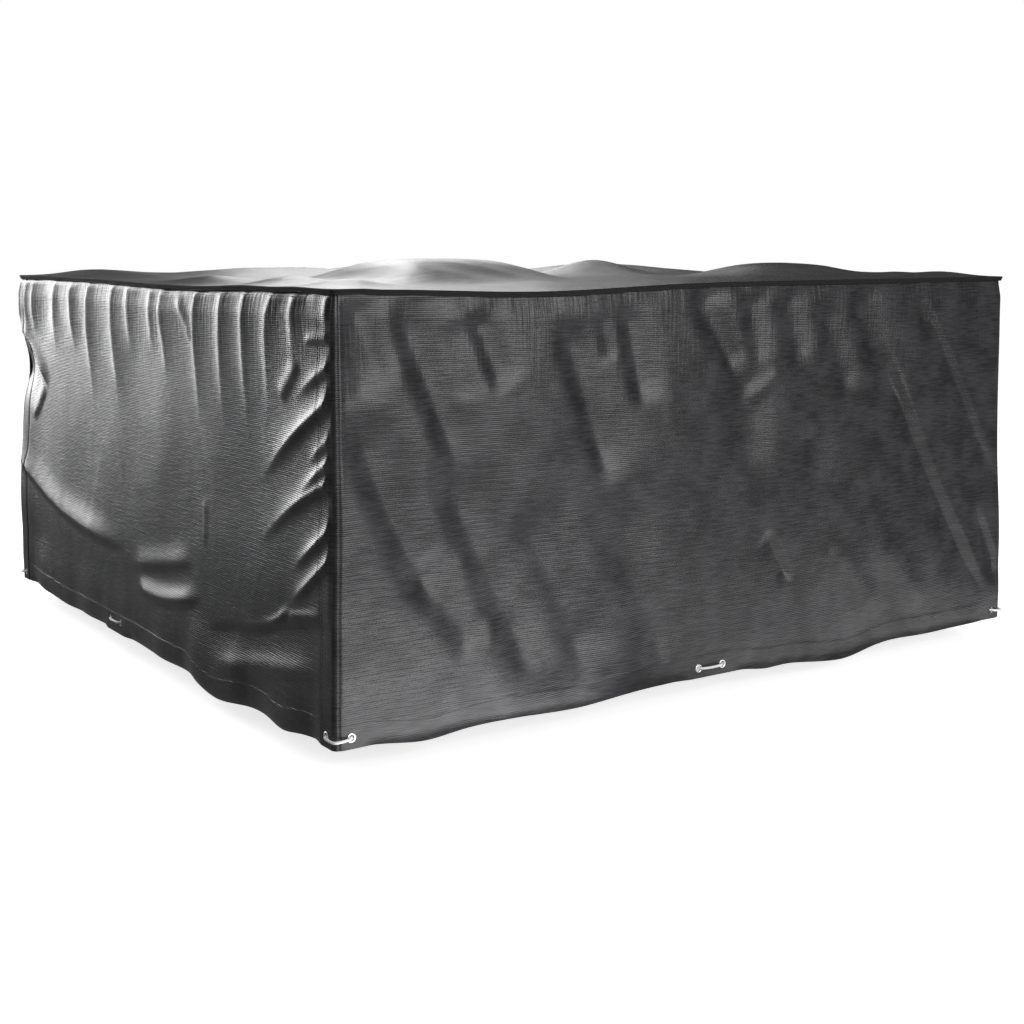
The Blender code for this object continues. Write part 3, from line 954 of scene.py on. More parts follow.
    def corner_shape(self, along: np.ndarray, z: np.ndarray) -> np.ndarray:
        """What the upright corners do: they sag in or stand out by a bell of the height.

        Args:
            along: Places along the panel.
            z: Heights on the panel.

        Returns:
            Heights in metres.
        """
        moved = np.zeros_like(z)
        for hand, bends in self.corner_bends.items():
            near = bell(np.maximum(self.half_along - hand * along, 0.0), self.BEND_REACH)
            for bend in bends:
                moved = moved - bend.drop * near * bell(z - bend.along, bend.half_width)
        return moved

    def seam_shape(self, along: np.ndarray, z: np.ndarray) -> np.ndarray:
        """What the seams do: the top one pulls the cloth in, and the corner one sinks a groove beside it.

        A plain panel also rises beyond the flange that laps it, until the two are flush.

        Args:
            along: Places along the panel.
            z: Heights on the panel.

        Returns:
            Heights in metres.
        """
        if self.wrapped:
            from_seam = self.half_along - np.abs(along) - self.SEAM_PLACE
            return -self.pinch(along, z) - self.SEAM_DEPTH * bell(from_seam, self.SEAM_WIDTH)
        from_lap = self.half_along - np.abs(along) - self.sizes.flange - self.sizes.gap
        return self.EDGE_RISE * smooth_step(from_lap / self.EDGE_REACH) - self.pinch(along, z)

    def pinch(self, along: np.ndarray, z: np.ndarray) -> np.ndarray:
        """How far in the top seam pulls the cloth: most at the margin's edge, and unevenly along it.

        Args:
            along: Places along the panel.
            z: Heights on the panel.

        Returns:
            Depths in metres.
        """
        mean, change = self.PINCH_SPAN
        uneven = rolling_noise(along, np.full_like(along, self.PINCH_LINE), self.PINCH_CELL, self.seed + 7)
        fading = 1.0 - smooth_step(self.below_margin(along, z) / self.PINCH_REACH)
        return self.PINCH * (mean + change * uneven) * fading

    def surface(self, along: np.ndarray, z: np.ndarray) -> np.ndarray:
        """The outer face: the plan's outline at each height, pushed out.

        The outline runs straight over the face, a quarter circle round the corner, and straight again
        over the flange, which follows the neighbour's creases one layer further out.

        Args:
            along: Places along the panel, running on round the corners.
            z: Heights on the panel.

        Returns:
            Points in the cover's frame.
        """
        side = np.sign(along)
        over = np.where(self.wrapped, np.maximum(np.abs(along) - self.bend_start, 0.0), 0.0)
        angle = np.minimum(over / self.ROUNDING, math.pi / 2.0)
        past = np.maximum(over - self.bend_length, 0.0)
        level = np.where(over > 0.0, side * (self.bend_start + self.ROUNDING * np.sin(angle)), along)
        depth = -self.plane + self.ROUNDING * (1.0 - np.cos(angle)) + past
        out = self.relief(np.clip(along, -self.half_along, self.half_along), z)
        aside = np.zeros_like(out)
        for hand, neighbour in self.neighbours.items():
            there = -hand * (self.plane - self.ROUNDING - past)
            round_corner = (side == hand) & (over > 0.0)
            aside = np.where(round_corner, neighbour.relief(there, z, lapped=True), aside)
        grown = self.sizes.growth(z)
        x = level * grown + side * np.sin(angle) * aside
        y = depth * grown - np.cos(angle) * out
        return turned(np.stack([x, y, z], axis=-1), self.turn)

    def relief(self, along: np.ndarray, z: np.ndarray, lapped: bool = False) -> np.ndarray:
        """Everything that moves the face out of its plain outline.

        Args:
            along: Places along the panel.
            z: Heights on the panel.
            lapped: True for a neighbour's flange that lies on this panel, and so has its own seams.

        Returns:
            Heights in metres.
        """
        shape = self.push(along, z) + self.hem_shape(along, z) + self.corner_shape(along, z)
        return shape - self.pinch(along, z) if lapped else shape + self.seam_shape(along, z)

    def column_places(self) -> np.ndarray:
        """Columns over the face, and where it is wrapped round each bend and over each flange.

        Those over the face are closer towards the near hand: the share t of the way from there becomes
        t times 1 + spread t, over 1 + spread.

        Returns:
            The columns' places along, rising.
        """
        share = np.linspace(0.0, 1.0, self.columns)
        share = 1.0 - 2.0 * share * (1.0 + self.spread * share) / (1.0 + self.spread)
        face = np.sort(self.near_hand * share * (self.bend_start if self.wrapped else self.reach))
        if not self.wrapped:
            return face
        bend = self.bend_start + self.bend_length * np.arange(1, self.BEND_COLUMNS) / self.BEND_COLUMNS
        flange = np.linspace(self.bend_start + self.bend_length, self.reach, self.FLANGE_COLUMNS)
        corner = np.concatenate([bend, flange[:-1], [self.reach - self.EDGE_LINE, self.reach]])
        return np.concatenate([-corner[::-1], face, corner])

    def row_heights(self, along: np.ndarray) -> np.ndarray:
        """Rows of heights: evenly down to the hem's stitching, closer across its step, evenly to the edge.

        Args:
            along: The columns' places.

        Returns:
            Heights by row and column.
        """
        top, edge = self.top_z(along), self.hem_z(along)
        stitched = edge + self.sizes.hem
        body = np.linspace(0.0, 1.0, self.body_rows)[:, None]
        band = np.linspace(0.0, 1.0, self.hem_rows)[:, None]
        step = np.array(self.STEP_ROWS[:-1])[:, None]
        last, beside = stitched - self.STEP_ROWS[-1], edge + self.EDGE_LINE
        hem = last + (beside - last) * band
        return np.vstack([top + (stitched - top) * body, stitched - step, hem, edge])

    def build(self) -> bpy.types.Object:
        """The sheet as a mesh with its thickness, and its map of the flat cloth."""
        along = self.column_places()
        z = self.row_heights(along)
        along = np.broadcast_to(along, z.shape)
        points = self.surface(along, z)
        flat = np.stack([along, -z], axis=-1)
        gather = 1.0 - smooth_step((self.top_z(along) - z) / self.GATHER_REACH)
        values = {"gather": gather.ravel(), "margin_painted_shade": np.zeros(gather.size)}
        name, faces = self.name + "_cloth", grid_faces(*z.shape)
        sheet = mesh_object(name, points.reshape(-1, 3), faces, flat.reshape(-1, 2), values)
        return thickened(sheet, self.sizes.cloth)

    def outward(self, along: np.ndarray, z: np.ndarray) -> tuple[np.ndarray, np.ndarray, np.ndarray]:
        """Points of the outer face, with the ways along it and out of it.

        Args:
            along: Places along the panel.
            z: Heights on the panel.

        Returns:
            The points, the unit vectors along, and the unit vectors out.
        """
        here, near = self.surface(along, z), self.NEARBY
        level = unit(self.surface(along + near, z) - self.surface(along - near, z))
        upward = unit(self.surface(along, z + near) - self.surface(along, z - near))
        return here, level, unit(np.cross(level, upward))


@dataclass
class TopPanel:
    """The top: a sheet that lies over humps and sagging edges, with its margin turned down all round."""

    sizes: CoverSizes
    humps: tuple[Hump, ...]
    puffs: tuple[Hump, ...]
    sides: tuple[SidePanel, ...]
    seed: int = 71
    inner_lines: int = 152
    edge_lines: int = 5

    HUMP_FADE = 0.160
    SAG_REACH = 0.300
    MARGIN_TUCK = 0.0045
    CORNER = 0.010
    # The cloth's unevenness: the spacings of each noise, in x and in y, and its height or its shift.
    BROAD_CELL, BROAD_HEIGHT = (0.30, 0.30), 0.005
    SHIFT_CELL, SHIFT = (0.20, 0.20), 0.04
    FOLD_CELL, FOLD_LEAN, FOLD_HEIGHT = (0.17, 0.11), 0.3, 0.004
    # The grid: a band at each edge where lines crowd by a power, rows round the bend and down the margin.
    EDGE_BAND = 0.030
    CROWDING = 1.5
    BEND_ROWS = 6
    MARGIN_ROWS = (0.2, 0.4, 0.6, 0.8, 0.97, 1.0)

    @property
    def inner(self) -> float:
        """Half the part that lies on top, inside the bend."""
        return self.sizes.half - self.sizes.top_bend

    @property
    def flat_size(self) -> tuple[float, float]:
        """The sheet as cut: the top, its bend and its margin, twice over."""
        side = 2.0 * (self.inner + self.sizes.top_bend * math.pi / 2.0 + self.sizes.top_margin)
        return side, side

    def height(self, x: np.ndarray, y: np.ndarray) -> np.ndarray:
        """The underside: humps and wrinkles that fade to the edges, puffs beside them and the edges' sag.

        Args:
            x: Places in plan.
            y: Places in plan.

        Returns:
            Heights over the level that the cover rests on.
        """
        half = self.sizes.half
        inboard = np.minimum(half - np.abs(x), half - np.abs(y))
        rise = sum(hump.height_at(x, y) for hump in self.humps)
        puffs = sum(puff.height_at(x, y) for puff in self.puffs)
        bent = x + self.SHIFT * rolling_noise(x, y, self.SHIFT_CELL, self.seed)
        folded = 0.5 - np.abs(rolling_noise(bent, y + self.FOLD_LEAN * x, self.FOLD_CELL, self.seed + 1))
        broad = rolling_noise(x, y, self.BROAD_CELL, self.seed + 2)
        rise = rise + self.FOLD_HEIGHT * folded + self.BROAD_HEIGHT * broad
        faded = rise * smooth_step(inboard / self.HUMP_FADE)
        return faded + puffs + self.sizes.top_lift(x, y) - self.edge_sag(x, y)

    def edge_sag(self, x: np.ndarray, y: np.ndarray) -> np.ndarray:
        """How far the top sinks near each side whose upper edge sags.

        Args:
            x: Places in plan.
            y: Places in plan.

        Returns:
            Depths in metres.
        """
        sunk = np.zeros_like(x)
        for panel in self.sides:
            placed = turned(np.stack([x, y, np.zeros_like(x)], axis=-1), -panel.turn)
            along, outwards = placed[..., 0], -placed[..., 1]
            inboard = (self.sizes.half - outwards) / self.SAG_REACH
            sag = bulge_drop(panel.top_sag, along) * panel.seam_fade(along)
            sunk = sunk + sag * (1.0 - smooth_step(inboard))
        return sunk

    def lines(self) -> np.ndarray:
        """The grid's places along one side: even inside, and closer in a band at each edge."""
        inside = np.linspace(-1.0, 1.0, self.inner_lines) * (self.inner - self.EDGE_BAND)
        share = 1.0 - np.arange(1, self.edge_lines + 1) / self.edge_lines
        band = self.inner - self.EDGE_BAND * share**self.CROWDING
        return np.concatenate([-band[::-1], inside, band])

    def rounded(self, x: np.ndarray, y: np.ndarray) -> tuple[np.ndarray, ...]:
        """Rounds the square's corners: beyond their centres x becomes x times the root of 1 - y^2 / 2.

        Args:
            x: Places in plan.
            y: Places in plan.

        Returns:
            The rounded x and y, and the x and y of the way out of the outline there.
        """
        centre = self.inner - self.CORNER
        over_x, over_y = (np.maximum(np.abs(v) - centre, 0.0) / self.CORNER for v in (x, y))
        in_corner = (over_x > 0.0) & (over_y > 0.0)
        new_x = over_x * np.sqrt(1.0 - over_y**2 / 2.0)
        new_y = over_y * np.sqrt(1.0 - over_x**2 / 2.0)
        round_x = np.where(in_corner, np.sign(x) * (centre + new_x * self.CORNER), x)
        round_y = np.where(in_corner, np.sign(y) * (centre + new_y * self.CORNER), y)
        long = np.maximum(np.hypot(new_x, new_y), TINY)
        return round_x, round_y, np.sign(x) * new_x / long, np.sign(y) * new_y / long

    def margin_out(self, down: np.ndarray) -> np.ndarray:
        """How far out the margin stands: a quarter circle, and then a drop that its stitching pulls in.

        Args:
            down: Distances below the top's own level.

        Returns:
            Distances out of the inner part.
        """
        bend, whole = self.sizes.top_bend, self.sizes.top_margin + self.sizes.cloth
        over = np.clip(1.0 - down / bend, 0.0, 1.0)
        share = np.clip((down - bend) / (whole - bend), 0.0, 1.0)
        return bend * np.sqrt(1.0 - over**2) - self.MARGIN_TUCK * share

    def margin_rows(self) -> np.ndarray:
        """How far down the margin's rows stand: evenly round the bend, and then by their shares.

        Returns:
            The distances below the top's own level.
        """
        bend = self.sizes.top_bend
        drop = self.sizes.top_margin + self.sizes.cloth - bend
        angle = np.linspace(0.0, math.pi / 2.0, self.BEND_ROWS + 1)[1:]
        return np.concatenate([bend * (1.0 - np.cos(angle)), bend + drop * np.array(self.MARGIN_ROWS)])

    def rim(self) -> np.ndarray:
        """The numbers of the grid's border vertices, anticlockwise from the lowest corner."""
        count = len(self.lines())
        number = np.arange(count * count).reshape(count, count)
        return np.concatenate([number[:-1, 0], number[-1, :-1], number[:0:-1, -1], number[0, :0:-1]])

    def build(self) -> bpy.types.Object:
        """The sheet as a mesh with its thickness: a grid over the top, and rings of margin round it."""
        lines = self.lines()
        x, y = (v.ravel() for v in np.meshgrid(lines, lines, indexing="ij"))
        x, y, out_x, out_y = self.rounded(x, y)
        top = np.stack([x, y, self.height(x, y) + self.sizes.cloth], axis=-1)
        rim, down = self.rim(), self.margin_rows()
        out = np.stack([out_x, out_y], axis=-1)[rim] * self.margin_out(down)[:, None, None]
        fall = np.broadcast_to(-down[:, None, None], (len(down), len(rim), 1))
        rings = top[rim] + np.concatenate([out, fall], axis=-1)
        number = np.vstack([rim, len(top) + np.arange(fall.size).reshape(len(down), -1)])
        border = number.ravel()[grid_faces(*number.shape, wrap_columns=True)]
        points = np.vstack([top, rings.reshape(-1, 3)])
        faces = np.vstack([grid_faces(len(lines), len(lines)), border])
        # 1 on the margin, where the cloth gets painted shade and a higher roughness.
        margin_painted_shade = (np.arange(len(points)) >= len(top)).astype(float)
        values = {"gather": np.zeros(len(points)), "margin_painted_shade": margin_painted_shade}
        sheet = mesh_object("top_cloth", points, faces, points[:, :2], values)
        return thickened(sheet, self.sizes.cloth)


# ------------------------------------------------------------------------------------------------- fittings


@dataclass
class Eyelet:
    """A rolled eyelet and its washer, clamped through one or two layers of cloth."""

    node: str
    sizes: CoverSizes

    BORE = 0.0062
    BARREL = 0.0072
    RISE = 0.0020
    WASHER_RISE = 0.0014
    HOLE = 0.0076
    ROUND = 40
    PROFILE = 11
    FLATNESS = 0.8  # a power under 1 makes the flange's crown flatter
    # The bar that cuts the hole.
    BAR_SIDES = 24
    BAR_REACH = 0.02

    def __post_init__(self) -> None:
        """Reads from the frame where the eyelet is and which way it faces."""
        low, high = (np.array(corner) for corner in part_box(self.node))
        middle, size = (low + high) / 2.0, high - low
        axis = int(np.argmin(size[:2]))
        facing = math.copysign(1.0, middle[axis])
        outermost = high[axis] if facing > 0 else low[axis]
        self.out = np.eye(3)[axis] * facing
        self.middle = middle.copy()
        self.middle[axis] = outermost - facing * self.RISE
        self.stack = float(size[axis]) - self.RISE - self.WASHER_RISE - self.sizes.gap

    def section(self) -> tuple[np.ndarray, np.ndarray]:
        """The ring's closed section as radii and heights over the cloth.

        Two half ellipses, the flange in front and the washer behind, joined by the barrel and the bore.

        Returns:
            The radii and the heights.
        """
        outer, gap = self.sizes.eyelet_outer, self.sizes.gap
        angle = np.linspace(math.pi, 0.0, self.PROFILE)
        crown, spread = (outer + self.BORE) / 2.0, (outer - self.BORE) / 2.0
        radius = crown + spread * np.cos(angle)
        front = gap + (self.RISE - gap) * np.sin(angle) ** self.FLATNESS
        back = -self.stack - gap - self.WASHER_RISE * np.sin(angle[::-1])
        barrel = np.array([self.BARREL, self.BARREL])
        radii = np.concatenate([radius, barrel, radius[::-1]])
        heights = np.concatenate([front, [gap, -self.stack - gap], back])
        return radii, heights

    def circle(self, count: int) -> np.ndarray:
        """Unit vectors round the eyelet's axis."""
        return around(np.cross(UP, self.out), UP, round_angles(count))

    def build(self) -> bpy.types.Object:
        """The section carried round the eyelet's axis."""
        radii, heights = self.section()
        ways = self.circle(self.ROUND)[:, None, :] * radii[None, :, None]
        points = self.middle + ways + self.out * heights[None, :, None]
        faces = grid_faces(self.ROUND, len(radii), wrap_rows=True, wrap_columns=True)
        return mesh_object(self.node.replace("eyelet", "ring"), points.reshape(-1, 3), faces)

    def hole_bar(self) -> tuple[np.ndarray, np.ndarray]:
        """The round bar through the cloth that the hole is cut with.

        Returns:
            Its points and its faces.
        """
        sides, circle = self.BAR_SIDES, self.circle(self.BAR_SIDES) * self.HOLE
        ends = [self.middle + self.out * reach for reach in (-self.BAR_REACH, self.BAR_REACH)]
        points = np.vstack([*(end + circle for end in ends), *ends])
        ring = np.arange(sides)
        wall = grid_faces(2, sides, wrap_columns=True)[:, ::-1]
        caps = [cap_faces(ring[::-1], 2 * sides), cap_faces(ring + sides, 2 * sides + 1)]
        return points, np.vstack([wall, *caps])


@dataclass(frozen=True)
class TieRoute:
    """One tie: where it is, how far apart its eyelets are, how far it droops, and its length as cut."""

    name: str
    along: float
    half_span: float
    droop: float
    length: float


@dataclass
class RopeTie:
    """A braided rope through both eyelets of a pair, with a stopper knot behind each."""

    route: TieRoute
    panel: SidePanel

    RADIUS = 0.0030
    SIDES = 24
    STEPS = 16
    STRANDS = 6
    LAY = 0.011
    STRAND_DEPTH = 0.10
    EVERY = 0.0009  # from ring to ring
    BLUNTNESS = 0.02  # how thin the rope's ends get
    # The knot: its reach, its rope's share of that, how many rings and sides it has, and its twist.
    KNOT_REACH = 0.0058
    KNOT_THICKNESS = 0.42
    KNOT_RINGS = 96
    KNOT_SIDES = 12
    KNOT_DEPTH = 0.07
    KNOT_TWIST = (1.5, 12.0)
    # The half route from its free end to the middle: run from the eyelet towards the other one, lift
    # outwards from the cloth, and fall.
    HALF = (
        (-0.0300, -0.0118, 0.0125),
        (-0.0230, -0.0118, 0.0075),
        (-0.0150, -0.0113, 0.0025),
        (-0.0052, -0.0078, 0.0000),
        (0.0030, 0.0028, 0.0000),
        (0.0125, 0.0071, 0.0000),
    )

    def own_points(self) -> np.ndarray:
        """The route's own points from knot to knot, as along, lift and z on the panel."""
        level = self.panel.sizes.eyelet_level
        run, lift, fall = np.array(self.HALF).T
        loose = self.route.droop * smooth_step(run / self.route.half_span)
        half = np.stack([run - self.route.half_span, lift, level - fall - loose], axis=-1)
        middle = np.array([[0.0, lift[-1], level - self.route.droop]])
        return np.vstack([half, middle, half[::-1] * (-1.0, 1.0, 1.0)])

    def placed(self, points: np.ndarray) -> np.ndarray:
        """Points of along, lift and z as points in the cover's frame, round the corner where it is one.

        Args:
            points: Rows of along, lift and z.

        Returns:
            Rows of x, y and z.
        """
        sizes, panel = self.panel.sizes, self.panel
        along = self.route.along + points[:, 0]
        side = np.sign(along)
        radius, start = sizes.corner_radius, panel.half_along - sizes.corner_radius
        over = np.maximum(np.abs(along) - start, 0.0) * float(panel.wrapped)
        angle = np.minimum(over / radius, math.pi / 2.0)
        past = np.maximum(over - radius * math.pi / 2.0, 0.0)
        level = np.where(over > 0.0, side * (start + radius * np.sin(angle)), along)
        depth = -panel.plane + radius * (1.0 - np.cos(angle)) + past
        grown = sizes.growth(np.array([sizes.eyelet_level]))[0]
        x = level * grown + side * np.sin(angle) * points[:, 1]
        y = depth * grown - np.cos(angle) * points[:, 1]
        return turned(np.stack([x, y, points[:, 2]], axis=-1), panel.turn)

    def build(self) -> tuple[bpy.types.Object, list[bpy.types.Object], np.ndarray]:
        """The rope, its two knots and its centre line.

        The rope's radius is a braid: the larger of two sets of rounded strands that wind opposite ways.

        Returns:
            The rope, the knots, and the points that the rope follows.
        """
        path = smooth_route(self.placed(self.own_points()), self.STEPS)
        travelled = np.concatenate([[0.0], np.cumsum(np.linalg.norm(np.diff(path, axis=0), axis=1))])
        count = int(travelled[-1] / self.EVERY)
        even = np.linspace(0.0, travelled[-1], count)
        path = np.stack([np.interp(even, travelled, path[:, i]) for i in range(3)], axis=-1)
        angle = round_angles(self.SIDES)
        twist = 2.0 * math.pi * even[:, None] / self.LAY
        one_way = np.abs(np.cos(self.STRANDS * (angle + twist / self.STRANDS) / 2.0))
        other_way = np.abs(np.cos(self.STRANDS * (angle - twist / self.STRANDS) / 2.0))
        strand = np.maximum(one_way, other_way)
        end = np.clip(np.minimum(even, even[-1] - even) / self.RADIUS, self.BLUNTNESS, 1.0)
        tip = np.sqrt(end * (2.0 - end))
        radius = self.RADIUS * (1.0 - self.STRAND_DEPTH + self.STRAND_DEPTH * strand) * tip[:, None]
        points = tube_points(path, radius, self.SIDES).reshape(-1, 3)
        ring, total = np.arange(self.SIDES), len(points)
        caps = [cap_faces(ring[::-1], total), cap_faces(ring + total - self.SIDES, total + 1)]
        faces = np.vstack([grid_faces(count, self.SIDES, wrap_columns=True)[:, ::-1], *caps])
        points = np.vstack([points, path[:1], path[-1:]])
        strength = np.concatenate([strand.ravel(), [1.0, 1.0]])
        rope = mesh_object("rope_" + self.route.name, points, faces, None, {"strand": strength})
        ends = self.placed(self.own_points()[[1, -2]])
        knots = [self.knot(letter, centre) for letter, centre in zip("ab", ends)]
        return rope, knots, path

    def knot(self, letter: str, centre: np.ndarray) -> bpy.types.Object:
        """A stopper knot: a tube round the three-lobed knot curve.

        Its points are sin t + 2 sin 2t, -sin 3t and cos t - 2 cos 2t.

        Args:
            letter: Which end it is at.
            centre: Its middle.

        Returns:
            The knot.
        """
        t = round_angles(self.KNOT_RINGS)
        lobes = (np.sin(t) + 2.0 * np.sin(2.0 * t), -np.sin(3.0 * t), np.cos(t) - 2.0 * np.cos(2.0 * t))
        thick = self.KNOT_THICKNESS * self.KNOT_REACH
        path = np.stack(lobes, axis=-1) * (self.KNOT_REACH - thick) / 3.0
        forward = unit(np.roll(path, -1, axis=0) - np.roll(path, 1, axis=0))
        aside = unit(np.cross(forward, path))
        angle = round_angles(self.KNOT_SIDES)
        round_way, on_way = self.KNOT_TWIST
        strand = np.abs(np.cos(round_way * angle[None, :] + on_way * t[:, None]))
        radius = thick * (1.0 - self.KNOT_DEPTH + self.KNOT_DEPTH * strand[..., None])
        points = path[:, None, :] + around(aside, np.cross(aside, forward), angle) * radius
        points = turned(points, self.panel.turn) + centre
        faces = grid_faces(self.KNOT_RINGS, self.KNOT_SIDES, wrap_rows=True, wrap_columns=True)
        name = f"knot_{self.route.name}_{letter}"
        return mesh_object(name, points.reshape(-1, 3), faces, None, {"strand": strand.ravel()})


@dataclass(frozen=True)
class StitchRun:
    """A row of lockstitches: short rounded lengths of thread that lie on the cloth."""

    pitch: float = 0.0050
    length: float = 0.0040
    radius: float = 0.00042

    # Each stitch's four rings: where they are in its length, how thick and how high in its radius.
    PLACES = (-0.5, -0.3, 0.3, 0.5)
    SIZES = (0.35, 1.0, 1.0, 0.35)
    LIFTS = (-0.2, 0.6, 0.6, -0.2)

    def count(self, distance: float) -> int:
        """How many stitches fill a distance."""
        return max(int(distance / self.pitch), 1)

    def build(self, name: str, middles: np.ndarray, ahead: np.ndarray, out: np.ndarray) -> bpy.types.Object:
        """Every stitch as square rings of thread, thin at both ends and sunk into the cloth there.

        Args:
            name: The piece's name.
            middles: Where each stitch is on the cloth.
            ahead: The way each one runs.
            out: The way out of the cloth at each.

        Returns:
            All the stitches as one piece.
        """
        ahead = unit(ahead)
        place, lift = np.array(self.PLACES) * self.length, np.array(self.LIFTS) * self.radius
        spine = middles[:, None, :] + ahead[:, None, :] * place[:, None] + out[:, None, :] * lift[:, None]
        corners = 4
        last = corners * len(self.PLACES) - 1
        way = around(np.cross(ahead, out), out, round_angles(corners) + math.pi / corners)
        size = np.array(self.SIZES)[:, None, None] * self.radius
        points = spine[:, :, None, :] + way[:, None, :, :] * size
        ends = np.array([np.arange(corners), last - np.arange(corners)])
        tube = np.vstack([grid_faces(len(self.PLACES), corners, wrap_columns=True), ends])
        first = np.arange(len(middles))[:, None, None] * (last + 1)
        return mesh_object(name, points.reshape(-1, 3), (tube[None] + first).reshape(-1, 4))


# ---------------------------------------------------------------------------------------------------- studio


@dataclass(frozen=True)
class SoftBox:
    """A square light that stands round the cover at an azimuth from +Y towards +X, and faces a point."""

    name: str
    azimuth: float
    elevation: float
    distance: float
    width: float
    height: float
    watts: float
    aim: tuple[float, float, float] = (0.0, 0.0, -0.4)

    def build(self) -> None:
        """Adds the light, unseen by the camera itself."""
        azimuth, elevation = math.radians(self.azimuth), math.radians(self.elevation)
        level = math.cos(elevation)
        way = np.array([math.sin(azimuth) * level, math.cos(azimuth) * level, math.sin(elevation)])
        light = bpy.data.lights.new(self.name, "AREA")
        light.shape = "RECTANGLE"
        light.size, light.size_y = self.width, self.height
        light.energy = self.watts
        made = bpy.data.objects.new(self.name, light)
        made.location = np.array(self.aim) + way * self.distance
        made.rotation_euler = (math.pi / 2.0 - elevation, 0.0, math.pi - azimuth)
        made.visible_camera = False
        bpy.context.scene.collection.objects.link(made)


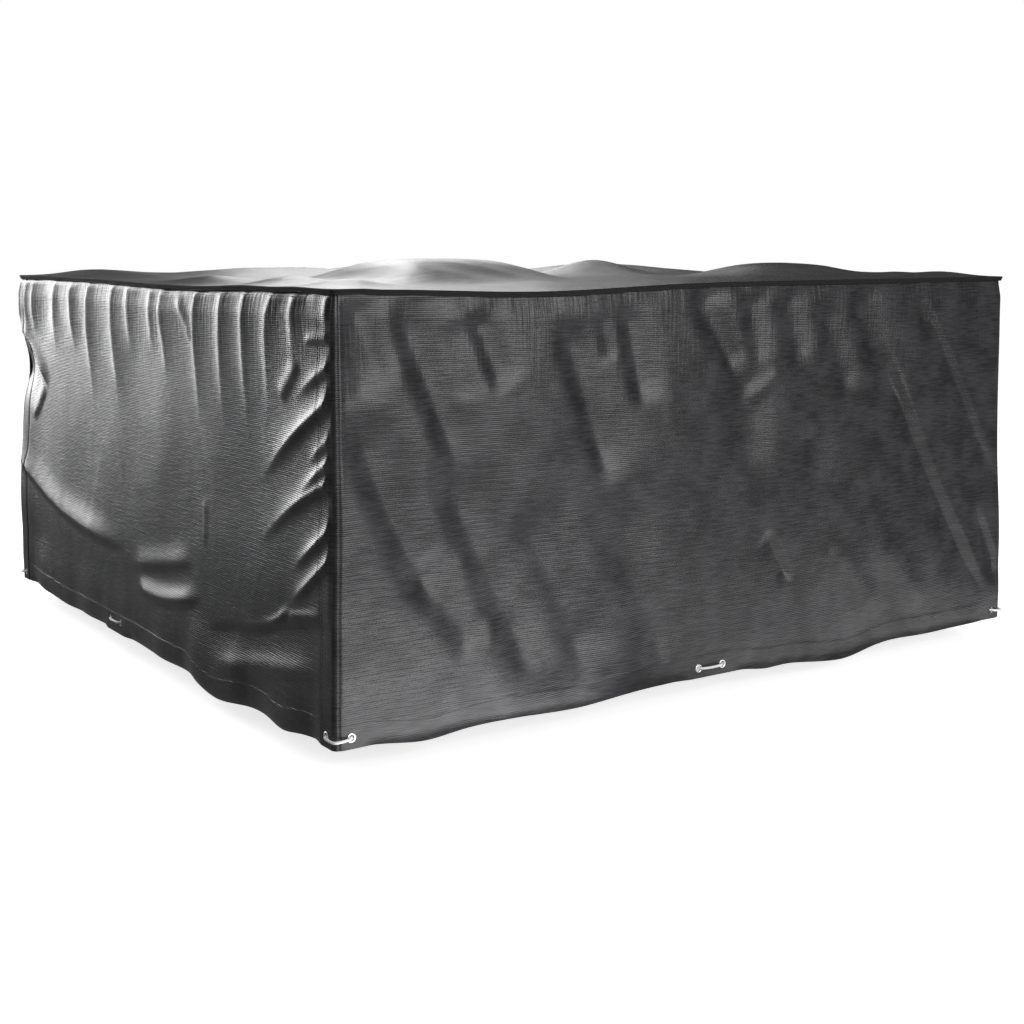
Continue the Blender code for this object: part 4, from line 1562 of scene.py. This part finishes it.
@dataclass(frozen=True)
class Studio:
    """A pale floor, a pale surrounding and soft boxes, with the camera at the photograph's place."""

    floor_z: float
    floor_half: float = 40.0
    camera_place: tuple[float, float, float] = (-2.3671, -3.6018, 0.0581)
    camera_yaw: float = 34.442
    camera_pitch: float = 4.0
    focal_pixels: float = 1526.4
    shift_y: float = -0.1434
    sensor: float = 36.0
    # The floor's colour as the camera sees it and as the cover sees it, and how far it is lit up.
    pale: str = "f2f2f2"
    dull: str = "8a8a8a"
    lit_up: float = 0.85
    # The surrounding's brightness, from straight down at 0 to straight up at 1. The level is at 0.5.
    glow: tuple[tuple[float, float], ...] = (
        (0.40, 0.17),
        (0.49, 0.10),
        (0.50, 0.02),
        (0.66, 0.03),
        (0.85, 0.42),
    )
    boxes: tuple[SoftBox, ...] = (
        SoftBox("back left light", -15.0, 12.5, 6.6, 3.4, 3.4, 262.0),
        SoftBox("back left soft light", -40.0, 14.0, 6.6, 2.2, 3.4, 52.0),
        SoftBox("back strip light", 22.6, 32.0, 7.0, 1.1, 3.0, 54.0, (0.0, 0.0, 0.0)),
        SoftBox("back soft strip light", 31.0, 14.0, 7.0, 1.5, 2.4, 21.0, (0.0, 0.0, 0.0)),
        SoftBox("back wide light", 31.5, 26.0, 7.2, 3.6, 2.4, 30.0, (0.0, 0.0, 0.0)),
        SoftBox("front light", 173.0, 14.0, 6.5, 4.8, 3.2, 228.0),
        SoftBox("near left floor light", 180.0, -90.0, 0.5, 0.7, 0.5, 3.5, (-0.66, -1.30, -0.44)),
        SoftBox("near floor light", 180.0, -90.0, 0.5, 1.25, 0.5, 2.4, (0.62, -1.30, -0.44)),
        SoftBox("far floor light", 180.0, -90.0, 0.5, 2.6, 1.4, 4.2, (0.30, -2.60, -0.44)),
        SoftBox("left floor light", 180.0, -90.0, 0.5, 1.4, 2.6, 3.4, (-2.50, 1.20, -0.44)),
    )

    def camera(self) -> None:
        """Adds the camera: turned by its yaw from +Y towards +X, and tilted down by its pitch."""
        data = bpy.data.cameras.new("camera")
        data.sensor_width = self.sensor
        data.lens = self.focal_pixels * self.sensor / IMAGE_SIDE
        data.shift_y = self.shift_y
        made = bpy.data.objects.new("camera", data)
        made.location = self.camera_place
        made.rotation_euler = (math.radians(90.0 - self.camera_pitch), 0.0, math.radians(-self.camera_yaw))
        bpy.context.scene.collection.objects.link(made)
        bpy.context.scene.camera = made

    def floor(self) -> bpy.types.Object:
        """Adds the floor: a pale matt sheet, lit up a little where the camera sees it."""
        side = np.array([-1.0, 1.0]) * self.floor_half
        x, y = (v.ravel() for v in np.meshgrid(side, side, indexing="ij"))
        points = np.stack([x, y, np.full(4, self.floor_z)], axis=-1)
        made = mesh_object("floor", points, grid_faces(2, 2)[:, ::-1])
        material = bpy.data.materials.new("pale studio floor")
        material.use_nodes = True
        tree = material.node_tree
        tree.nodes.clear()
        seen = add_node(tree, "ShaderNodeLightPath").outputs["Is Camera Ray"]
        pale, grey = linear_colour(self.pale), linear_colour(self.dull)
        matt = add_node(tree, "ShaderNodeBsdfDiffuse", {"Color": pale}).outputs[0]
        glow = add_node(tree, "ShaderNodeEmission", {"Color": pale, "Strength": self.lit_up}).outputs[0]
        lit = add_node(tree, "ShaderNodeAddShader", {0: matt, 1: glow}).outputs[0]
        dull = add_node(tree, "ShaderNodeBsdfDiffuse", {"Color": grey}).outputs[0]
        both = add_node(tree, "ShaderNodeMixShader", {0: seen, 1: dull, 2: lit}).outputs[0]
        add_node(tree, "ShaderNodeOutputMaterial", {"Surface": both})
        made.data.materials.append(material)
        made.visible_glossy = False
        return made

    def surrounding(self) -> None:
        """White where the camera sees it, and a soft grey that brightens upwards for light."""
        world = bpy.data.worlds.new("studio")
        world.use_nodes = True
        tree = world.node_tree
        tree.nodes.clear()
        way = add_node(tree, "ShaderNodeTexCoord").outputs["Generated"]
        upward = add_node(tree, "ShaderNodeSeparateXYZ", {0: way}).outputs["Z"]
        share = add_node(tree, "ShaderNodeMapRange", {0: upward, 1: -1.0, 2: 1.0}).outputs[0]
        ramp = add_node(tree, "ShaderNodeValToRGB", {0: share})
        stops = ramp.color_ramp.elements
        for position, grey in self.glow:
            stop = stops.new(position)
            stop.color = (grey, grey, grey, 1.0)
        stops.remove(stops[0])
        stops.remove(stops[-1])
        level = ramp.outputs[0]
        seen = add_node(tree, "ShaderNodeLightPath").outputs["Is Camera Ray"]
        strength = add_node(tree, "ShaderNodeMix", {0: seen, 2: level, 3: 1.0}).outputs[0]
        looks = {"Color": linear_colour("ffffff"), "Strength": strength}
        glow = add_node(tree, "ShaderNodeBackground", looks)
        add_node(tree, "ShaderNodeOutputWorld", {"Surface": glow.outputs[0]})
        bpy.context.scene.world = world

    def build(self) -> None:
        """Adds the floor, the surrounding and the lights, and shows colours without a film curve."""
        self.floor()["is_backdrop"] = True
        self.surrounding()
        for box in self.boxes:
            box.build()
        bpy.context.scene.view_settings.view_transform = "Standard"


# ------------------------------------------------------------------------------- the creases of this cover

SEAM = Fading.FAR_END
CRISP = Section.CRISP

FRONT_CREASES = (
    Crease((-0.964, -0.010), (-0.944, -0.110), (-0.914, -0.250), -0.0083, 0.036, 0.048),
    Crease((-0.950, -0.215), (-0.870, -0.440), (-0.750, -0.650), -0.0175, 0.042, 0.079),
    Crease((-0.810, -0.540), (-0.735, -0.650), (-0.645, -0.760), -0.0150, 0.045, 0.074),
    Crease((-0.855, -0.010), (-0.780, -0.190), (-0.690, -0.390), -0.0166, 0.035, 0.061),
    Crease((-0.760, -0.320), (-0.645, -0.560), (-0.505, -0.850), -0.0215, 0.050, 0.090),
    Crease((-0.945, -0.020), (-0.915, -0.100), (-0.880, -0.190), -0.0069, 0.027, 0.035),
    Crease((-0.674, -0.040), (-0.634, -0.130), (-0.589, -0.220), -0.0111, 0.028, 0.044),
    Crease((-0.729, -0.060), (-0.704, -0.150), (-0.684, -0.240), -0.0056, 0.028, 0.041),
    Crease((-0.453, -0.050), (-0.383, -0.240), (-0.308, -0.440), -0.0151, 0.031, 0.058),
    Crease((-0.347, -0.050), (-0.332, -0.110), (-0.312, -0.170), -0.0056, 0.024, 0.031),
    Crease((-0.280, -0.030), (-0.250, -0.150), (-0.215, -0.280), -0.0123, 0.027, 0.042),
    Crease((-0.085, -0.010), (-0.010, -0.110), (0.070, -0.230), -0.0166, 0.027, 0.048),
    Crease((0.068, -0.170), (0.095, -0.310), (0.077, -0.460), -0.0111, 0.057, 0.065),
    Crease((0.085, -0.020), (0.105, -0.100), (0.130, -0.200), -0.0096, 0.027, 0.041),
    Crease((0.199, -0.020), (0.229, -0.100), (0.259, -0.210), -0.0111, 0.032, 0.048),
    Crease((0.315, -0.040), (0.375, -0.160), (0.435, -0.290), -0.0123, 0.027, 0.050),
    Crease((0.437, -0.010), (0.507, -0.150), (0.592, -0.340), -0.0151, 0.031, 0.065),
    Crease((0.542, -0.144), (0.722, -0.471), (0.953, -0.879), -0.0150, 0.065, 0.011),
    Crease((0.660, -0.021), (0.808, -0.235), (1.000, -0.560), -0.0080, 0.040, 0.013),
    Crease((0.890, -0.580), (0.950, -0.700), (1.010, -0.820), -0.0078, 0.034, 0.012),
    Crease((0.667, -0.040), (0.677, -0.070), (0.697, -0.120), -0.0056, 0.012, 0.019),
    Crease((0.150, -0.582), (0.187, -0.641), (0.232, -0.723), -0.0110, 0.036, 0.010),
    Crease((0.350, -0.630), (0.440, -0.730), (0.530, -0.840), 0.0080, 0.040, 0.034),
    Crease((0.500, -0.620), (0.600, -0.730), (0.700, -0.840), 0.0070, 0.040, 0.034),
    Crease((-0.560, -0.440), (-0.460, -0.650), (-0.370, -0.860), -0.0110, 0.040, 0.080),
    Crease((-0.355, -0.440), (-0.245, -0.680), (-0.150, -0.880), -0.0120, 0.044, 0.085),
    Crease((-0.900, -0.870), (-0.660, -0.880), (-0.400, -0.900), 0.0100, 0.080, 0.080),
    Crease((0.080, -0.280), (0.140, -0.240), (0.200, -0.200), 0.0050, 0.018, 0.022),
    Crease((0.275, -0.340), (0.315, -0.420), (0.295, -0.500), -0.0079, 0.060, 0.065),
)

LEFT_CREASES = (
    Crease((-0.985, -0.010), (-0.975, -0.100), (-0.930, -0.220), 0.0150, 0.020, 0.070, SEAM, CRISP),
    Crease((-0.915, -0.010), (-0.910, -0.100), (-0.925, -0.210), 0.0130, 0.012, 0.066, SEAM, CRISP),
    Crease((-0.840, -0.012), (-0.838, -0.090), (-0.852, -0.180), 0.0120, 0.012, 0.060, SEAM, CRISP),
    Crease((-0.656, -0.010), (-0.662, -0.100), (-0.668, -0.220), 0.0120, 0.020, 0.042, SEAM, CRISP),
    Crease((-0.520, -0.030), (-0.514, -0.110), (-0.508, -0.210), 0.0120, 0.018, 0.042, SEAM, CRISP),
    Crease((-0.377, -0.010), (-0.378, -0.140), (-0.379, -0.360), 0.0160, 0.016, 0.060, SEAM, CRISP),
    Crease((-0.192, -0.010), (-0.188, -0.130), (-0.180, -0.360), 0.0150, 0.016, 0.066, SEAM, CRISP),
    Crease((-0.089, -0.010), (-0.080, -0.090), (-0.072, -0.200), 0.0085, 0.013, 0.048, SEAM, CRISP),
    Crease((0.051, -0.010), (0.058, -0.090), (0.068, -0.190), 0.0090, 0.013, 0.048, SEAM, CRISP),
    Crease((0.137, -0.010), (0.144, -0.100), (0.158, -0.260), 0.0160, 0.014, 0.088, SEAM, CRISP),
    Crease((0.225, -0.020), (0.270, -0.079), (0.320, -0.130), 0.0045, 0.012, 0.016),
    Crease((0.348, -0.010), (0.343, -0.140), (0.342, -0.360), 0.0150, 0.014, 0.070, SEAM, CRISP),
    Crease((0.487, -0.010), (0.483, -0.120), (0.474, -0.360), 0.0115, 0.015, 0.056, SEAM, CRISP),
    Crease((0.603, -0.010), (0.601, -0.120), (0.600, -0.360), 0.0120, 0.015, 0.056, SEAM, CRISP),
    Crease((0.755, -0.010), (0.719, -0.090), (0.712, -0.310), 0.0135, 0.014, 0.058, SEAM, CRISP),
    Crease((0.846, -0.010), (0.834, -0.065), (0.834, -0.180), 0.0110, 0.013, 0.050, SEAM, CRISP),
    Crease((0.968, -0.010), (0.967, -0.051), (0.963, -0.090), 0.0045, 0.012, 0.050, SEAM, CRISP),
    Crease((0.880, -0.105), (0.941, -0.100), (0.990, -0.098), 0.0050, 0.006, 0.014),
    Crease((0.990, -0.150), (0.913, -0.184), (0.830, -0.226), 0.0080, 0.020, 0.007, SEAM, CRISP),
    Crease((0.862, -0.150), (0.815, -0.190), (0.770, -0.232), 0.0050, 0.024, 0.012),
    Crease((0.998, -0.216), (0.822, -0.309), (0.641, -0.419), 0.0140, 0.032, 0.007, SEAM, CRISP),
    Crease((0.990, -0.292), (0.935, -0.322), (0.875, -0.356), 0.0065, 0.015, 0.006, SEAM, CRISP),
    Crease((0.995, -0.334), (0.920, -0.375), (0.835, -0.424), 0.0080, 0.016, 0.006, SEAM, CRISP),
    Crease((0.995, -0.380), (0.825, -0.447), (0.636, -0.554), 0.0130, 0.028, 0.007, SEAM, CRISP),
    Crease((0.992, -0.468), (0.895, -0.527), (0.796, -0.584), 0.0100, 0.016, 0.006, SEAM, CRISP),
    Crease((0.990, -0.528), (0.880, -0.600), (0.790, -0.654), 0.0100, 0.016, 0.007, SEAM, CRISP),
    Crease((0.810, -0.648), (0.700, -0.712), (0.510, -0.752), 0.0055, 0.012, 0.008),
    Crease((0.945, -0.646), (0.860, -0.660), (0.780, -0.677), 0.0035, 0.009, 0.010),
    Crease((1.000, -0.664), (0.690, -0.724), (0.350, -0.797), -0.0068, 0.013, 0.055),
    Crease((0.950, -0.756), (0.680, -0.802), (0.400, -0.856), 0.0042, 0.020, 0.022),
    Crease((-1.000, -0.140), (-0.868, -0.205), (-0.745, -0.315), 0.0105, 0.010, 0.030),
    Crease((-0.770, -0.302), (-0.835, -0.362), (-0.905, -0.412), 0.0050, 0.030, 0.010),
    Crease((-1.060, -0.500), (-0.660, -0.636), (-0.130, -0.676), 0.0140, 0.015, 0.038),
    Crease((-0.110, -0.712), (0.110, -0.678), (0.310, -0.640), 0.0060, 0.014, 0.032),
    Crease((-0.070, -0.756), (0.140, -0.760), (0.360, -0.714), 0.0115, 0.012, 0.026),
    Crease((0.240, -0.880), (0.420, -0.880), (0.600, -0.880), 0.0080, 0.080, 0.080),
    Crease((0.362, -0.480), (0.368, -0.541), (0.366, -0.600), 0.0030, 0.010, 0.012),
)

BACK_CREASES = (
    Crease((-0.90, -0.01), (-0.81, -0.20), (-0.73, -0.42), -0.012, 0.016, 0.030),
    Crease((-0.63, -0.01), (-0.61, -0.16), (-0.60, -0.34), 0.008, 0.040, 0.012, SEAM),
    Crease((-0.37, -0.02), (-0.31, -0.24), (-0.25, -0.50), -0.013, 0.018, 0.032),
    Crease((-0.12, -0.01), (-0.12, -0.12), (-0.11, -0.27), 0.007, 0.040, 0.011, SEAM),
    Crease((0.02, -0.01), (0.03, -0.14), (0.05, -0.30), 0.008, 0.036, 0.012, SEAM),
    Crease((0.28, -0.02), (0.24, -0.24), (0.19, -0.50), -0.012, 0.030, 0.018),
    Crease((0.44, -0.01), (0.45, -0.11), (0.47, -0.24), 0.007, 0.034, 0.011, SEAM),
    Crease((0.56, -0.02), (0.61, -0.18), (0.67, -0.36), -0.011, 0.016, 0.028),
    Crease((1.00, -0.24), (0.80, -0.41), (0.60, -0.62), 0.013, 0.034, 0.014),
    Crease((1.00, -0.40), (0.86, -0.50), (0.72, -0.62), 0.010, 0.024, 0.012),
    Crease((-0.55, -0.66), (-0.74, -0.55), (-1.00, -0.38), 0.013, 0.040, 0.014),
    Crease((0.36, -0.66), (0.02, -0.70), (-0.34, -0.72), 0.012, 0.050, 0.018),
    Crease((0.40, -0.86), (0.58, -0.84), (0.76, -0.86), 0.011, 0.080, 0.080),
    Crease((-0.86, -0.62), (-0.78, -0.72), (-0.70, -0.84), -0.009, 0.026, 0.036),
)

RIGHT_CREASES = (
    Crease((-0.60, -0.50), (-0.78, -0.34), (-1.00, -0.16), 0.013, 0.034, 0.014),
    Crease((-0.74, -0.56), (-0.86, -0.46), (-1.00, -0.34), 0.010, 0.024, 0.012),
    Crease((-0.72, -0.01), (-0.69, -0.14), (-0.65, -0.30), 0.008, 0.038, 0.012, SEAM),
    Crease((-0.52, -0.01), (-0.52, -0.10), (-0.51, -0.22), 0.006, 0.032, 0.010, SEAM),
    Crease((-0.40, -0.02), (-0.41, -0.18), (-0.43, -0.38), -0.012, 0.026, 0.018),
    Crease((-0.22, -0.01), (-0.21, -0.12), (-0.20, -0.26), 0.007, 0.036, 0.011, SEAM),
    Crease((-0.09, -0.01), (-0.05, -0.16), (-0.01, -0.34), -0.011, 0.016, 0.028),
    Crease((0.10, -0.01), (0.10, -0.11), (0.11, -0.24), 0.006, 0.034, 0.010, SEAM),
    Crease((0.22, -0.01), (0.24, -0.18), (0.27, -0.40), -0.013, 0.018, 0.030),
    Crease((0.42, -0.01), (0.43, -0.12), (0.44, -0.28), 0.008, 0.040, 0.011, SEAM),
    Crease((0.55, -0.02), (0.53, -0.15), (0.50, -0.32), -0.010, 0.026, 0.016),
    Crease((1.00, -0.20), (0.82, -0.34), (0.62, -0.52), 0.013, 0.034, 0.014),
    Crease((1.00, -0.48), (0.74, -0.62), (0.40, -0.73), 0.014, 0.042, 0.015),
    Crease((-0.26, -0.75), (-0.58, -0.68), (-0.94, -0.56), 0.013, 0.046, 0.016),
    Crease((-0.18, -0.86), (0.08, -0.85), (0.34, -0.86), 0.012, 0.080, 0.080),
)

HUMPS = (
    Hump(-0.465, -0.50, 0.225, 0.21, 0.050, 4.0),
    Hump(0.30, -0.12, 0.12, 0.13, 0.041),
    Hump(0.56, -0.60, 0.19, 0.15, 0.035, 3.0),
    Hump(-0.84, 0.62, 0.14, 0.24, 0.014),
    Hump(-0.55, 0.28, 0.20, 0.22, 0.023),
    Hump(-0.33, 0.32, 0.14, 0.15, 0.012),
    Hump(0.06, 0.58, 0.26, 0.20, 0.026),
    Hump(0.68, 0.34, 0.20, 0.28, 0.028),
)

PUFFS = (
    Hump(-0.88, -0.16, 0.08, 0.15, 0.017),
    Hump(-0.88, -0.58, 0.08, 0.10, 0.018),
    Hump(-0.88, -0.84, 0.08, 0.07, 0.016),
    Hump(-0.90, 0.78, 0.08, 0.14, 0.009),
    Hump(0.78, -0.84, 0.09, 0.09, 0.010),
    Hump(0.92, -0.86, 0.06, 0.09, 0.011),
)


@dataclass
class PatioCover:
    """The whole cover: its top, its four sides, sixteen eyelets and eight ties."""

    sizes: CoverSizes
    pieces: list[bpy.types.Object] = field(default_factory=list)

    CLOTH = CoatedTapeWeave("coated polyethylene tape weave")
    METAL = StampedAluminium("stamped aluminium")
    ROPE = BraidedPolypropylene("braided polypropylene cord")
    THREAD = PolyesterThread("polyester sewing thread")

    # Where the middle pair of eyelets is along the wrapped panels and along the plain ones.
    WRAPPED_PAIR = -0.03
    PLAIN_PAIR = -0.21
    # How long the ties were cut.
    CORNER_TIE = 0.162
    PAIR_TIE = 0.154
    # How far the stitch rows run inside the edges that they sew down, and where a row begins and ends.
    HEM_ROW, HEM_END = 0.0045, 0.006
    LAP_ROW, LAP_TOP, LAP_FOOT = 0.005, 0.012, 0.004
    MARGIN_ROW = 0.0025

    def __post_init__(self) -> None:
        """Lays out the panels and joins each wrapped one to its neighbours."""
        sizes, wrapped_pair, plain_pair = self.sizes, self.WRAPPED_PAIR, self.PLAIN_PAIR
        unseen = {"columns": 230, "body_rows": 96, "hem_rows": 9, "spread": 0.0}
        self.front = SidePanel(
            "front", 0, True, sizes, FRONT_CREASES,
            (
                Bulge(-0.78, 0.100, 0.014), Bulge(-0.42, 0.110, 0.013), Bulge(0.15, 0.060, 0.010),
                Bulge(0.34, 0.130, 0.019), Bulge(0.45, 0.100, 0.018), Bulge(0.75, 0.150, 0.008),
            ),
            (Bulge(-0.50, 0.300, 0.013),), wrapped_pair, seed=11,
        )
        self.right = SidePanel(
            "right", 90, False, sizes, RIGHT_CREASES,
            (Bulge(-0.62, 0.110, 0.010), Bulge(0.22, 0.140, 0.016)),
            (Bulge(-0.24, 0.300, 0.008),), plain_pair, seed=23, **unseen,
        )
        self.back = SidePanel(
            "back", 180, True, sizes, BACK_CREASES,
            (Bulge(-0.46, 0.140, 0.014), Bulge(0.56, 0.130, 0.017)),
            (Bulge(0.30, 0.320, 0.009),), wrapped_pair, seed=37, **unseen,
        )
        self.left = SidePanel(
            "left", -90, False, sizes, LEFT_CREASES,
            (
                Bulge(-0.60, 0.110, 0.006), Bulge(-0.50, 0.350, 0.008), Bulge(0.10, 0.350, 0.010),
                Bulge(0.42, 0.110, 0.022), Bulge(0.60, 0.200, 0.009), Bulge(0.76, 0.070, 0.010),
            ),
            (Bulge(0.20, 0.320, 0.008),), plain_pair, seed=53,
            columns=250, body_rows=150, near_hand=1, spread=0.80,
        )
        sunk = (Bulge(-0.260, 0.072, 0.023), Bulge(-0.58, 0.220, -0.014))
        swollen = (Bulge(-0.58, 0.280, -0.009),)
        self.left.corner_bends, self.back.corner_bends = {-1: sunk}, {1: sunk}
        self.front.corner_bends, self.right.corner_bends = {1: swollen}, {-1: swollen}
        self.front.neighbours = {-1: self.left, 1: self.right}
        self.back.neighbours = {-1: self.right, 1: self.left}
        self.sides = (self.front, self.right, self.back, self.left)
        self.top = TopPanel(sizes, HUMPS, PUFFS, self.sides)

    def add(self, piece: bpy.types.Object, material: bpy.types.Material, slot: str) -> bpy.types.Object:
        """Dresses a piece, rides it on the cover and notes it.

        Args:
            piece: The finished piece.
            material: What it is made of.
            slot: The kind of piece it is. It is not used.

        Returns:
            The same piece.
        """
        piece.data.materials.clear()
        piece.data.materials.append(material)
        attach(piece, "root")
        self.pieces.append(piece)
        triangles = sum(len(face.vertices) - 2 for face in piece.data.polygons)
        LOG.info("%s: %d triangles", piece.name, triangles)
        return piece

    def tie_routes(self) -> list[tuple[TieRoute, SidePanel]]:
        """The eight ties in part order, each with the panel that its places are measured on."""
        sizes = self.sizes
        quarter = sizes.corner_radius * math.pi / 4.0
        bend = self.front.half_along - sizes.corner_radius + quarter
        corner = sizes.eyelet_from_corner - sizes.corner_radius + quarter
        pair, long, short = sizes.pair_half_span, self.CORNER_TIE, self.PAIR_TIE
        return [
            (TieRoute("front_left_corner", -bend, corner, 0.003, long), self.front),
            (TieRoute("front", self.WRAPPED_PAIR, pair, 0.001, short), self.front),
            (TieRoute("front_right_corner", bend, corner, 0.004, long), self.front),
            (TieRoute("right", self.PLAIN_PAIR, pair, 0.003, short), self.right),
            (TieRoute("back_left_corner", bend, corner, 0.005, long), self.back),
            (TieRoute("back", self.WRAPPED_PAIR, pair, 0.002, short), self.back),
            (TieRoute("back_right_corner", -bend, corner, 0.005, long), self.back),
            (TieRoute("left", self.PLAIN_PAIR, pair, 0.001, short), self.left),
        ]

    def build_ties(self) -> None:
        """Makes each rope with its knots, in place of the frame's tie."""
        rope_finish = self.ROPE.material()
        for route, panel in self.tie_routes():
            rope, knots, path = RopeTie(route, panel).build()
            self.add(rope, rope_finish, "rope")
            for knot in knots:
                self.add(knot, rope_finish, "rope")
            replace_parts(rope, "tie_" + route.name)

    def build_eyelets(self, nodes: list[str]) -> bpy.types.Object:
        """Makes every eyelet, and the bars that its holes are cut with.

        Args:
            nodes: The frame's eyelet nodes.

        Returns:
            The bars, joined.
        """
        metal = self.METAL.material()
        points, faces = [], []
        for node in nodes:
            eyelet = Eyelet(node, self.sizes)
            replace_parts(self.add(eyelet.build(), metal, "eyelet"), node)
            bar_points, bar_faces = eyelet.hole_bar()
            faces.append(bar_faces + sum(map(len, points)))
            points.append(bar_points)
        return mesh_object("hole_bars", np.vstack(points), np.vstack(faces))

    def build_cloth(self, bars: bpy.types.Object) -> dict[str, bpy.types.Object]:
        """Makes the five sheets, with holes where the eyelets are.

        Args:
            bars: What the holes are cut with. It is removed.

        Returns:
            The sheets by name.
        """
        cloth = self.CLOTH.material()
        sheets = {"top": self.top.build()}
        for panel in self.sides:
            sheets[panel.name] = panel.build()
            cut = sheets[panel.name].modifiers.new("eyelet holes", "BOOLEAN")
            cut.operation, cut.object, cut.solver = "DIFFERENCE", bars, "MANIFOLD"
        for name, sheet in sheets.items():
            apply_modifiers(sheet)
            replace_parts(self.add(sheet, cloth, "cloth"), name + "_panel")
        bpy.data.objects.remove(bars)
        return sheets

    def build_stitching(self) -> dict[str, list[bpy.types.Object]]:
        """Sews the hems, the laps at the corners and the top panel's margin.

        Returns:
            The stitch rows by the name of the sheet that they are on.
        """
        thread = self.THREAD.material()
        run, sizes = StitchRun(), self.sizes
        made: dict[str, list[bpy.types.Object]] = {"top": []}
        for panel in self.sides:
            count = run.count(2.0 * panel.reach)
            along = np.linspace(-panel.reach + self.HEM_END, panel.reach - self.HEM_END, count)
            middles, level, out = panel.outward(along, panel.hem_z(along) + sizes.hem - self.HEM_ROW)
            rows = [run.build(f"hem_stitches_{panel.name}", middles, level, out)]
            if panel.wrapped:
                highest, lowest = sizes.side_top - self.LAP_TOP, -sizes.drop + self.LAP_FOOT
                z = np.linspace(highest, lowest, run.count(sizes.drop))
                sewn = []
                for hand in (-1.0, 1.0):
                    along = np.full_like(z, hand * (panel.reach - self.LAP_ROW))
                    middles, level, out = panel.outward(along, z)
                    sewn.append((middles, np.cross(out, level), out))
                middles, ahead, out = (np.vstack(part) for part in zip(*sewn))
                rows.append(run.build(f"lap_stitches_{panel.name}", middles, ahead, out))
            made[panel.name] = [self.add(row, thread, "cloth") for row in rows]
        made["top"].append(self.add(self.margin_stitches(run), thread, "cloth"))
        return made

    def margin_stitches(self, run: StitchRun) -> bpy.types.Object:
        """The row that sews the top panel's margin to the sides, a little above the margin's edge."""
        sizes, top = self.sizes, self.top
        rows = []
        for panel in self.sides:
            end = top.inner - top.CORNER
            along = np.linspace(-end, end, run.count(2.0 * end))
            edge = np.full_like(along, top.inner)
            placed = turned(np.stack([along, -edge, edge], axis=-1), panel.turn)
            x, y = placed[:, 0], placed[:, 1]
            down = sizes.top_margin + sizes.cloth - self.MARGIN_ROW
            outer = top.inner + top.margin_out(np.full_like(along, down))
            middles = np.stack([along, -outer, top.height(x, y) + sizes.cloth - down], axis=-1)
            out = np.broadcast_to([0.0, -1.0, 0.0], middles.shape)
            rows.append([turned(part, panel.turn) for part in (middles, np.gradient(middles, axis=0), out)])
        middles, ahead, out = (np.vstack(part) for part in zip(*rows))
        return run.build("margin_stitches", middles, ahead, out)


def box_lists() -> list[list[float]]:
    """The model's box now, as plain lists of numbers."""
    return [[float(value) for value in corner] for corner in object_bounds()]


def main() -> None:
    """Builds the cover in its studio."""
    logging.basicConfig(level=logging.INFO, format="%(name)s: %(message)s")
    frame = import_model()
    cad_box = box_lists()
    sizes = CoverSizes.from_frame()
    lowest = min(corner[2] for corner in cad_box)
    studio = Studio(floor_z=lowest - CLEARANCE)
    studio.camera()
    cover = PatioCover(sizes)
    cover.build_ties()
    eyelets = sorted(name for name in frame["nodes"] if name.startswith("eyelet_"))
    bars = cover.build_eyelets(eyelets)
    sheets = cover.build_cloth(bars)
    cover.build_stitching()
    studio.build()
    LOG.info("%d pieces", len(cover.pieces))


if __name__ == "__main__":
    main()
